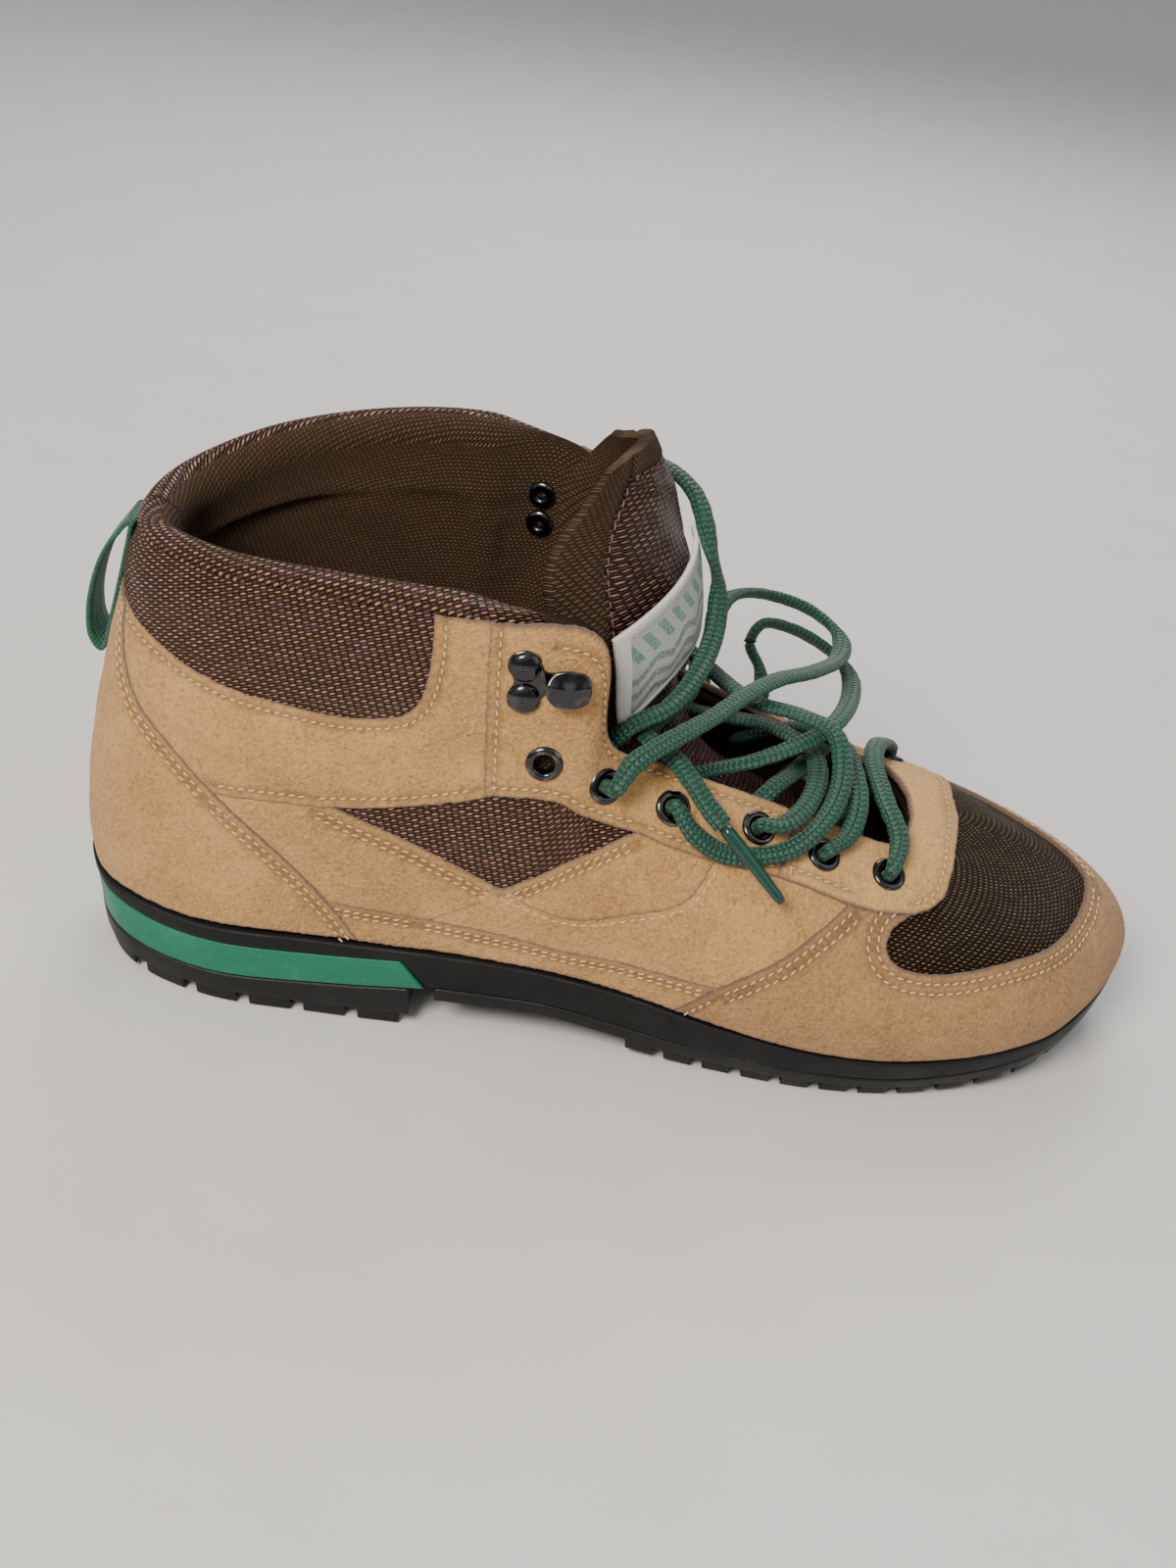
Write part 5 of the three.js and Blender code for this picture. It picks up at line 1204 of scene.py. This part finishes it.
# ---------------------------------------------------------------- sole
SOLE_LEDGE = 1.4
TAPER_HEEL, TAPER_BALL = 0.06, 0.13
WEDGE_FRONT, WEDGE_SLANT = 95.0, 6.0
BREAST, WAIST_START = 97.0, 104.0
LUG, OUTSOLE = 4.0, 4.5
LIFT = LUG + OUTSOLE + FIT
FAR = 1000.0  # a limit past either end of the sole
LUG_OVERLAP, CENTRE_GROOVE = 0.6, 2.5
HEEL_LUGS, FORE_LUGS = (6, BREAST + FIT, 15.3, 11.5), (158, 297, 11, 7.5)  # start, end, pitch and length


def slanted(flat, lean):
    """The wedge's lower edge reaches further forward than its upper one."""
    return flat + np.stack([lean * np.clip(flat[:, 0] / WEDGE_FRONT, 0, 1) ** 6, np.zeros(len(flat))], -1)


def sole_wall(flat, z):
    """The sole's side draws in towards the ground, more at the ball than at the heel."""
    x, y = flat[:, 0], flat[:, 1]
    share = smoothstep(110, 190, x)
    drop = np.clip(1 - z / seat_height(x), 0, 1)
    narrow = 1 - drop * (TAPER_HEEL + (TAPER_BALL - TAPER_HEEL) * share)
    return np.stack([150 + (x - 150) * (1 - 0.025 * drop), y * narrow, z], -1)


_feather = skin_point(np.linspace(0, RIB_COUNT, 360, endpoint=False), 0.0)[:, :2]
if area(_feather) < 0:
    _feather = _feather[::-1]
SOLE = inset(_feather, -SOLE_LEDGE)


def clipped(outline, low, high):
    """The part of an outline between two lines of constant x."""
    result = outline
    for limit, above in ((low, True), (high, False)):
        kept = []
        for p, q in zip(result, np.roll(result, -1, 0)):
            p_in, q_in = ((r[0] >= limit) if above else (r[0] <= limit) for r in (p, q))
            if p_in:
                kept.append(p)
            if p_in != q_in:
                t = (limit - p[0]) / (q[0] - p[0])
                kept.append(np.array([limit, p[1] + (q[1] - p[1]) * t]))
        result = np.array(kept)
        if len(result) < 3:
            return result
    return result


def layer(outline, top, bottom, step, radius, lean=0.0):
    """Points and faces of a closed layer of the sole; both edges are rounded by a radius."""
    outline = even_outline(outline, 1.6)
    if area(outline) < 0:
        outline = outline[::-1]
    rings = []
    for turn in (90, 45, 15, 0, 0, -15, -45, -90):
        draw_in = radius * (1 - math.cos(math.radians(turn)))
        rings.append((inset(outline, draw_in) if draw_in > 1e-6 else outline, math.radians(turn)))
    points, count = [], len(outline)
    for k, (flat, angle) in enumerate(rings):
        if k < len(rings) / 2:
            points.append(sole_wall(flat, top(flat[:, 0]) - radius * (1 - math.sin(angle))))
        else:
            ahead = slanted(flat, lean)
            points.append(sole_wall(ahead, bottom(ahead[:, 0]) + radius * (1 + math.sin(angle))))
    faces = grid_faces(len(rings), count, False, True)
    total = len(rings) * count
    for k, below in ((0, False), (len(rings) - 1, True)):
        flat = rings[k][0]
        low, high = flat.min(0), flat.max(0)
        xs, ys = np.meshgrid(np.arange(low[0], high[0], step), np.arange(low[1], high[1], step))
        grid = np.stack([xs.ravel(), ys.ravel()], -1)
        grid = grid[inside(grid, inset(flat, step * 0.3))]
        verts, _, cells, *_ = geometry.delaunay_2d_cdt(
            [Vector(p) for p in np.vstack([flat, grid])], [(i, (i + 1) % count) for i in range(count)],
            [list(range(count))], 1, 1e-5)
        extra = np.array([list(v) for v in verts])[count:]
        if below:
            extra = slanted(extra, lean)
        points.append(sole_wall(extra, (bottom if below else top)(extra[:, 0])))
        for cell in cells:
            mapped = [k * count + i if i < count else total + i - count for i in cell]
            faces.append(mapped[::-1] if below else mapped)
        total += len(extra)
    points = np.vstack(points)
    return points, turned(points, faces)


def make_sole():
    """Midsole, wedge let into the heel, and two outsoles with their blocks of tread."""
    step_lines = (WEDGE_FRONT + 2 * FIT, WEDGE_FRONT + WEDGE_SLANT + 2 * FIT)

    def heel_floor(x):
        return np.maximum(0, heel_ground(x))

    def fore_floor(x):
        return np.maximum(0, fore_ground(x))

    def midsole_bottom(x):
        behind = wedge_top(np.minimum(x, WEDGE_FRONT)) + FIT
        ahead = fore_floor(np.maximum(x, step_lines[1])) + LIFT
        share = np.clip((x - step_lines[0]) / (step_lines[1] - step_lines[0]), 0, 1)
        return behind + (ahead - behind) * share

    def add(name, parts, material, slot, node):
        dress(new_object(name, *merge(parts)), material, "boot", slot, [node])

    add("midsole_foam", [layer(SOLE, lambda x: seat_height(x) - FIT, midsole_bottom, 4.0, 0.9)],
        FOAM, "midsole_foam", "midsole")
    add("heel_wedge_rubber",
        [layer(clipped(inset(SOLE, 0.4), -FAR, WEDGE_FRONT), wedge_top, wedge_bottom, 5.0, 0.35,
               WEDGE_SLANT)],
        GREEN, "wedge_rubber", "heel_wedge")
    outline = clipped(inset(SOLE, 0.2), -FAR, BREAST)
    base = layer(outline, lambda x: wedge_bottom(x) - FIT, lambda x: heel_floor(x) + LUG, 6.0, 0.8)
    add("heel_outsole_rubber", [base, *tread(outline, *HEEL_LUGS, heel_floor)], BLACK, "outsole_rubber",
        "heel_outsole")
    outline = clipped(inset(SOLE, 0.2), WAIST_START, FAR)
    base = layer(outline, lambda x: fore_floor(x) + LIFT - FIT, lambda x: fore_floor(x) + LUG, 6.0, 0.8)
    add("fore_outsole_rubber", [base, *tread(outline, *FORE_LUGS, fore_floor)], BLACK, "outsole_rubber",
        "fore_outsole")


def tread(outline, start, end, pitch, length, floor):
    """Blocks of tread in two rows either side of a middle groove."""
    blocks = []
    x = start
    while x + length <= end:
        strip = clipped(inset(outline, 0.8), x, x + length)
        for half in (1, -1):
            tile = clipped(strip[:, ::-1] * [half, 1], CENTRE_GROOVE, FAR)
            if len(tile) > 2 and abs(area(tile)) > 8:
                tile = tile[:, ::-1] * [1, half]
                blocks.append(layer(tile, lambda q: floor(q) + LUG + LUG_OVERLAP, floor, 6.0, 0.6))
        x += pitch
    return blocks


make_sole()


# ---------------------------------------------------------------- footbed
FOOTBED, CUP, CUP_SPREAD = 4.0, 2.2, 5.0


def make_footbed():
    """A thin knit-faced bed whose rim cups the heel."""
    outline = even_outline(inset(_feather, SUEDE + 0.9 + LINING_SKIN + 1.4 + 0.9), 2.0)
    base = 1.6 + 2.4 * FIT

    def on_floor(flat):
        return np.column_stack([flat, np.zeros(len(flat))])

    def place(flat, depth):
        edge = nearest(on_floor(flat), on_floor(outline))
        cup = CUP * np.exp(-edge / CUP_SPREAD) * (1 - smoothstep(110, 190, flat[:, 0]))
        z = seat_height(flat[:, 0]) + base + FOOTBED - depth + cup * (depth < FOOTBED - 0.1)
        return np.stack([flat[:, 0], flat[:, 1], z], -1)

    points, faces, flats, *_ = plate(outline, 3.0, place, FOOTBED, 1.2)
    piece = new_object("footbed_knit", points, faces, flats * MM)
    dress(piece, KNIT, "boot", "footbed", ["footbed"])


make_footbed()


# ---------------------------------------------------------------- eyelets, hooks, pull tab
def metal_ring(name, outline, wear, turns, u, v, nodes=(), shift=(0, 0, 0), spin=0.0):
    """A turned ring or dome on the upper; wear says how far each step of its outline is rubbed bare."""
    points, faces = lathe(outline, turns)
    points = place_on_skin(points + np.array(shift), u, v, spin)
    piece = new_object(name, points, turned(points, faces), values={"edge": np.tile(wear, turns)})
    dress(piece, METAL, "boot", "black_metal", nodes)


def make_eyelets():
    """Rolled eyelets; the ridge of each flange is worn to bare metal."""
    back = [(2.45, -5.0), (4.3, -5.0), (4.6, -5.35), (4.2, -5.75), (3.2, -5.8), (2.5, -5.5)]
    flange = [(2.95, -0.1), (4.55, -0.05), (4.75, 0.15), (4.55, 0.6), (4.0, 0.95), (3.3, 1.05), (2.75, 0.8),
              (2.45, 0.2)]
    for side, tag in ((1, "lateral"), (-1, "medial")):
        for number, (u, v) in EYELETS.items():
            raised = LEVEL["throat" if number < 3 else "eyestay"]
            u = u if side > 0 else RIB_COUNT - u
            outline = [(2.4, -4.8), (2.85, -4.8)] + [(r, raised + z) for r, z in flange]
            metal_ring(f"eyelet_ring_{tag}_{number}", outline,
                       [0, 0, 0, 0.2, 0.7, 1, 0.5, 0.6, 0.9, 0.2], 36, u, v, [f"eyelet_{tag}_{number}"])
            metal_ring(f"eyelet_back_{tag}_{number}", back, [0, 0.5, 1, 0.8, 0.4, 0.2], 28, u, v)


HOOK = (4.42, 0.845)
FINE = 0.7  # step along a plate's outline


def bent_plate(outline, base, thickness, curve=None):
    """A small sheet-metal plate with rounded edges, in local millimetres; curve(x, y) lifts it."""
    outline = np.asarray(outline, float)
    if area(outline) < 0:
        outline = outline[::-1]
    rings = [(0.45, 0.0), (0.12, 0.12), (0.0, 0.45), (0.0, thickness - 0.3), (0.12, thickness - 0.08),
             (0.5, thickness)]
    levels, count = [], len(outline)
    for draw, z in rings:
        flat = inset(outline, draw) if draw else outline
        lift = curve(flat[:, 0], flat[:, 1]) if curve else 0
        levels.append(np.column_stack([flat, np.full(count, base + z) + lift]))
    centre = outline.mean(0)
    lift = curve(centre[:1], centre[1:]) if curve else np.zeros(1)
    tips = [[*centre, base + float(lift[0])], [*centre, base + thickness + float(lift[0])]]
    points = np.vstack([*levels, tips])
    wear = np.concatenate([np.repeat([0.1, 0.5, 1.0, 1.0, 0.9, 0.25], count), [0, 0]])
    return points, turned(points, tube_faces(len(rings), count)), wear


def make_hooks():
    """Speed hooks: a plate on two rivets, and a bent strip that carries the ridged head."""
    half = [(-4.3, 3.6), (-3.4, 6.8), (0, 8.2), (3.3, 6.9), (4.1, 4.4), (5.6, 2.9), (9, 2.8), (13, 3.0)]
    base = smooth_line(half + [(14.2, 0)] + [(x, -y) for x, y in half[::-1]] + [(-2.6, 0)], FINE, True)
    head_half = [(5.4, 2.2), (7.2, 4.3), (11, 4.9), (14.6, 4.0), (15.9, 2.0)]
    head = smooth_line([(5.0, 0)] + head_half + [(x, -y) for x, y in head_half[::-1]], FINE, True)
    dome = [(0.05, 0.85), (3.7, 0.85), (3.9, 1.15), (3.7, 1.6), (3.0, 2.1), (2.0, 2.45), (1.0, 2.62),
            (0.05, 2.68)]
    raised, rivet = LEVEL["eyestay"], 4.1

    def ridge(x, y):
        return 1.5 * np.exp(-((y - 1.2) / 1.6) ** 2) - 0.012 * (x - 9) ** 2

    a = np.linspace(-math.pi / 2, math.pi / 2, 9)
    bend = [np.column_stack([13.2 + r * np.cos(a), raised + 2.4 + z * np.sin(a)])
            for r, z in ((2.3, 2.4), (1.3, 1.4))]
    loop = np.vstack([bend[0], bend[1][::-1]])
    count = len(loop)
    strip = np.vstack([np.column_stack([loop[:, 0], np.full(count, y), loop[:, 1]]) for y in (-2.6, 0, 2.6)])
    faces = grid_faces(3, count, False, True) + [list(range(count))[::-1], list(range(2 * count, 3 * count))]
    parts = [bent_plate(base, raised, 0.9), bent_plate(head, raised + 3.6, 1.2, ridge),
             (strip, turned(strip, faces), np.full(3 * count, 0.3))]
    for side, tag in ((1, "lateral"), (-1, "medial")):
        u = HOOK[0] if side > 0 else RIB_COUNT - HOOK[0]
        spin = 0 if side > 0 else math.pi
        points, faces = merge([(p, f) for p, f, _ in parts])
        points = place_on_skin(points, u, HOOK[1], spin)
        piece = new_object(f"lace_hook_{tag}", points, turned(points, faces),
                           values={"edge": np.concatenate([wear for _, _, wear in parts])})
        dress(piece, METAL, "boot", "black_metal", [f"hook_{tag}"])
        inner = -LINING_TOP - LINING_SKIN - COLLAR_PAD * float(collar_share(u)) - 0.2
        clinch = [(0.9, inner), (3.4, inner - 0.1), (3.8, inner - 0.5), (3.4, inner - 1.1),
                  (2.2, inner - 1.3), (1.2, inner - 0.9)]
        for end, word in ((1, "upper"), (-1, "lower")):
            shift = (0, rivet * end * side, 0)
            metal_ring(f"hook_rivet_dome_{tag}_{word}", [(r, z + raised) for r, z in dome],
                       [0, 0.1, 0.7, 0.6, 0.2, 0.1, 0.1, 0.1], 28, u, HOOK[1], [f"hook_rivet_{tag}_{word}"],
                       shift, spin)
            metal_ring(f"hook_rivet_back_{tag}_{word}", clinch, [0, 0.3, 1, 0.8, 0.4, 0.2],
                       28, u, HOOK[1], (), shift, spin)


def make_pull_tab():
    """A webbing loop: up the heel from inside the collar seam, out, and back under itself."""
    line = [(0.985, 2.3), (0.955, 3.6), (0.91, 5.4), (0.86, 6.8), (0.8, 7.5), (0.74, 7.5), (0.69, 6.9),
            (0.645, 5.6), (0.62, 3.8), (0.61, 2.2)]
    inner = [(0.62, 1.2), *((v, 1.05) for v in (0.66, 0.7, 0.75, 0.8, 0.86, 0.91, 0.955)), (0.985, 1.2)]
    centre = np.array([skin(0.0, v, h) for v, h in line + inner])[:, [0, 2]]
    path = smooth_line(centre, 0.8, True)
    ahead = unit(np.roll(path, -1, 0) - np.roll(path, 1, 0))
    out = np.stack([ahead[:, 1], -ahead[:, 0]], -1)
    half, thick, count = 7.3, 0.7, len(path)
    section = [(-1, -1), (-1, 1), (-0.5, 1), (0, 1), (0.5, 1), (1, 1), (1, -1), (0.5, -1), (0, -1),
               (-0.5, -1)]
    arc = arc_of(path)
    rings, uv = [], []
    for y, t in section:
        edge_thin = 0.75 if abs(y) == 1 else 1.0
        waist = 1 - 0.10 * np.sin(np.linspace(0, 2 * math.pi, count)) ** 2
        xz = path + out * thick * t * edge_thin
        rings.append(np.stack([xz[:, 0], y * half * waist, xz[:, 1]], -1))
        uv.append(np.stack([np.full(count, (y * half) * MM), arc * MM], -1))
    points = np.stack(rings, 1).reshape(-1, 3)
    faces = grid_faces(count, len(section), True, True)
    piece = new_object("pull_tab_webbing", points, turned(points, faces), np.stack(uv, 1).reshape(-1, 2))
    dress(piece, WEBBING, "boot", "webbing", ["pull_tab"])


make_eyelets()
make_hooks()
make_pull_tab()


# ---------------------------------------------------------------- tongue, as in the CAD source
TONGUE = [
    ((227, 0, 49), 15, 15, (0, -3)), ((206, 1, 57), 20, 20, (-1, -6)), ((186, 2, 66), 24, 23, (-5, -9)),
    ((169, 4, 76.5), 27, 22, (-12, -12)), ((159, 8, 94), 30, 16, (-22, -11)),
    ((161, 11, 113), 36, 12, (-32, -5)), ((156, 12, 134), 38, 12, (-32, 2)),
    ((150, 9, 151), 26, 13, (-19, -1)), ((145, 4, 162.5), 16, 11, (-10, -5)),
]
TONGUE_ROWS = np.array([[*m, o, i, *s] for m, o, i, s in TONGUE], float)
TONGUE_FOAM, TONGUE_WEB = 7.0, 2.4
TOP_SEAM = 7.35  # how far up the tongue its sewn border turns across
PAD_FROM, PAD_STEP, PAD_SIDE, PAD_STEP_ACROSS = 3.2, 0.1, 0.78, 0.06


def tongue_skin(s, t):
    s, t = np.broadcast_arrays(np.asarray(s, float), np.asarray(t, float))
    i = np.clip(np.floor(s).astype(int), 0, len(TONGUE) - 2)
    rows = spline1((s - i)[..., None],
                   *(TONGUE_ROWS[np.clip(i + k, 0, len(TONGUE) - 1)] for k in (-1, 0, 1, 2)))
    bend = t * t
    width = np.where(t < 0, rows[..., 3], rows[..., 4])
    return np.stack([rows[..., 0] + rows[..., 5] * bend, rows[..., 1] + width * t,
                     rows[..., 2] + rows[..., 6] * bend], -1)


def tongue_normal(s, t, e=0.01):
    s, t = np.asarray(s, float), np.asarray(t, float)
    across, up = tongue_skin(s, t + e) - tongue_skin(s, t - e), tongue_skin(s + e, t) - tongue_skin(s - e, t)
    return unit(np.cross(across, up))


def tongue_at(s, t, offset):
    return tongue_skin(s, t) + tongue_normal(s, t) * np.asarray(offset, float)[..., None]


def tongue_thickness(s, t):
    padded = (TONGUE_WEB
              + (TONGUE_FOAM - TONGUE_WEB) * smoothstep(1.5, 4, s) * (1 - smoothstep(6.8, 8, s) * 0.5))
    return padded * (1 - 0.65 * t**4)


def border(s):
    """How far across the tongue its border is sewn."""
    return 0.76 - 0.10 * smoothstep(6.5, 8, s)


def tongue_moves():
    """The tongue's face inside its sewn border."""
    ss, tt = np.meshgrid(np.arange(PAD_FROM, 7.45, PAD_STEP), np.arange(-PAD_SIDE, 0.80, PAD_STEP_ACROSS),
                         indexing="ij")
    pinned = np.zeros(ss.shape)
    pinned[0], pinned[-1], pinned[:, 0], pinned[:, -1] = 1, 1, 1, 1
    return inflated(tongue_skin(ss, tt), pinned, pressure=3.0, cap=1.6)


def make_tongue():
    """Nylon over foam: a smoother bound edge outside a sewn line, and soft pillows inside it."""
    count_s, count_t = 190, 71
    s = np.linspace(0.02, 8.0, count_s)
    t = np.sin(np.linspace(-1, 1, count_t) * math.pi / 2 * 0.999)
    ss, tt = np.meshgrid(s, t, indexing="ij")
    seam_t = border(ss)
    line = np.exp(-((np.abs(tt) - seam_t) / 0.035) ** 2) * smoothstep(3, 4.2, ss)
    top_line = np.exp(-((ss - TOP_SEAM) / 0.06) ** 2) * (np.abs(tt) < seam_t)
    wrinkle = 0.25 * np.sin(ss * 5.2 + tt * 3.0) * np.sin(tt * 6.0 - ss * 1.3) * smoothstep(3.5, 5, ss)
    piping = 0.5 * smoothstep(0.86, 0.97, np.abs(tt))
    lift = -0.9 * line - 0.9 * top_line + wrinkle + piping - 0.2
    thick = tongue_thickness(ss, tt)
    moves = resampled(tongue_moves(), (ss - PAD_FROM) / PAD_STEP, (tt + PAD_SIDE) / PAD_STEP_ACROSS)
    top = tongue_at(ss, tt, lift) + moves
    bottom = tongue_skin(ss, tt) - tongue_normal(ss, tt * 0.35) * (thick + 0.25 * wrinkle)[..., None]
    points = np.vstack([top.reshape(-1, 3), bottom.reshape(-1, 3)])
    n = count_s * count_t
    arc_s = arc_of(tongue_skin(s, 0.0))
    uv = np.stack([tt * 30 * MM, np.repeat(arc_s[:, None], count_t, 1) * MM], -1).reshape(-1, 2)
    piece = new_object("tongue_padded", points, turned(points, slab_faces(count_s, count_t)),
                       np.vstack([uv, uv]))
    piece.data.materials.append(TONGUE_NYLON)
    piece.data.materials.append(KNIT)
    band = (np.abs(tt) > seam_t) | (ss > TOP_SEAM)
    flags = np.concatenate([band.ravel(), np.ones(n, bool)])
    for polygon in piece.data.polygons:
        above = ss.ravel()[polygon.vertices[0] % n] > PAD_FROM
        polygon.material_index = 1 if above and all(flags[i] for i in polygon.vertices) else 0
    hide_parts("tongue", "tongue_root")
    to_frame([228, 0, 50]).tolist()
    to_frame([200, 0, 58]).tolist()
    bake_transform(piece)
    s_line = np.linspace(3.6, 7.3, 400)
    rows = [tongue_row(s_line, sign * border(s_line)) for sign in (-1, 1)]
    rows.append(tongue_row(np.full(200, TOP_SEAM), np.linspace(-0.66, 0.66, 200)))
    points, faces = bead_rows(rows)
    dress(new_object("tongue_stitches", points, faces), THREAD_DARK, "tongue", "tongue_nylon")


def tongue_row(s, t, pitch=2.9, length=2.1, width=0.55):
    p = tongue_at(s, t, np.full(len(s), -0.75))
    arc = arc_of(p)
    spots = np.arange(pitch / 2, arc[-1], pitch)
    out = tongue_normal(np.interp(spots, arc, s), np.interp(spots, arc, t))
    return *stitch_places(p, arc, spots), out, length, width


make_tongue()

PATCH = {"s": (4.48, 5.65), "t": (-0.8, 0.1), "lean": 0.75, "lift": 2.2, "thickness": 0.8}


def patch_material():
    """A woven label: a pale border, a grey field with chevrons below, and a green band of slanted bars."""
    n = Nodes("label_woven")
    split = n.node("ShaderNodeSeparateXYZ", Vector=n.place("UV"))
    x, y = split[0], split[1]
    near = n.math("MINIMUM", n.math("MINIMUM", x, n.minus(1.0, x)),
                  n.math("MINIMUM", y, n.minus(1.0, y)))
    rows = n.sine(n.times(y, 2 * math.pi * 40))
    zigzag = n.math("PINGPONG", n.times(x, 0.9), 0.11)
    chevron = n.sine(n.times(n.plus(y, zigzag), 2 * math.pi * 6))
    lower = n.below(y, 0.56)
    field = n.mix(n.times(lower, n.above(chevron, 0.1)), (0.33, 0.35, 0.31), (0.12, 0.15, 0.13))
    bars = n.above(n.sine(n.times(n.plus(x, n.times(y, 0.35)), 2 * math.pi * 9)), 0.1)
    band = n.times(n.above(y, 0.62), n.below(y, 0.84))
    field = n.mix(n.times(band, n.times(bars, 0.85)), field, (0.03, 0.16, 0.12))
    colour = n.mix(n.below(near, 0.085), field, (0.62, 0.60, 0.52))
    colour = n.mix(n.range(n.noise(1400, 2), 0.4, 0.7, 0, 0.35), colour, (0.60, 0.60, 0.55))
    return n.finish(Base_Color=colour, Roughness=0.8, Normal=n.bump(rows, 0.0002, 0.6), Sheen_Weight=0.2)


def make_patch():
    """The label sewn to the tongue's face, with a whipped edge."""
    count = 46
    row, share = np.meshgrid(np.linspace(0, 1, count), np.linspace(0, 1, count), indexing="ij")
    s = PATCH["s"][0] + (PATCH["s"][1] - PATCH["s"][0]) * row + PATCH["lean"] * (share - 0.5)
    t = PATCH["t"][0] + (PATCH["t"][1] - PATCH["t"][0]) * share
    near = np.minimum(np.minimum(row, 1 - row), np.minimum(share, 1 - share))
    lift = (PATCH["lift"] + PATCH["thickness"] + 0.35 * np.exp(-((near - 0.04) / 0.03) ** 2)
            + 0.35 * np.sin(row * 6) * np.sin(share * 4))
    top, bottom = tongue_at(s, t, lift), tongue_at(s, t, lift - 1.0)
    points = np.vstack([top.reshape(-1, 3), bottom.reshape(-1, 3)])
    uv = np.stack([share, row], -1).reshape(-1, 2)
    piece = new_object("tongue_label", points, turned(points, slab_faces(count, count)), np.vstack([uv, uv]))
    dress(piece, patch_material(), "tongue", "label", ["tongue_patch"])


make_patch()


# ---------------------------------------------------------------- pieces that stay as the CAD made them
for _node, _material in (("insole_board", BOARD), ("shank", STEEL)):
    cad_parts[_node].data.materials.clear()
    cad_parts[_node].data.materials.append(_material)


# ---------------------------------------------------------------- floor and light
def add_light(name, kind, width, power):
    data = bpy.data.lights.new(name, kind)
    data.energy = power
    if kind == "SUN":
        data.angle = width
    else:
        data.size = width
    lamp = bpy.data.objects.new(name, data)
    bpy.context.scene.collection.objects.link(lamp)
    return lamp


def make_studio():
    floor = Nodes("floor_pale")
    grain = floor.noise(30, 3)
    floor.finish(Base_Color=floor.mix(grain, (0.62, 0.60, 0.58), (0.68, 0.665, 0.645)), Roughness=0.9)
    size, below = 14.0, -0.0003
    mesh = bpy.data.meshes.new("floor")
    mesh.from_pydata([(x * size, y * size, below) for x, y in ((-1, -1), (1, -1), (1, 1), (-1, 1))], [],
                     [[0, 1, 2, 3]])
    mesh.materials.append(floor.material)
    ground = bpy.data.objects.new("floor", mesh)
    bpy.context.scene.collection.objects.link(ground)
    for name, place, aim, width, power, colour in (
            ("key", (-0.45, -0.8, 0.95), (0, 0, 0.05), 0.42, 19.0, (1.0, 0.94, 0.86)),
            ("fill", (0.9, -0.4, 0.7), (0, 0, 0.05), 0.9, 3.0, (0.95, 0.97, 1.0)),
            ("rim", (0.1, 0.9, 0.9), (0, 0, 0.08), 0.7, 9.0, (1.0, 0.98, 0.95))):
        lamp = add_light(name, "AREA", width, power)
        lamp.data.color = colour
        lamp.location = place
        lamp.rotation_euler = (Vector(aim) - Vector(place)).to_track_quat("-Z", "Y").to_euler()
    add_light("overhead", "SUN", 1.6, 0.6).rotation_euler = (0.5, -0.35, 0)
    world = bpy.data.worlds.new("world")
    world.use_nodes = True
    background = world.node_tree.nodes["Background"].inputs
    background[0].default_value, background[1].default_value = (0.86, 0.88, 0.92, 1), 0.3
    bpy.context.scene.world = world


make_studio()
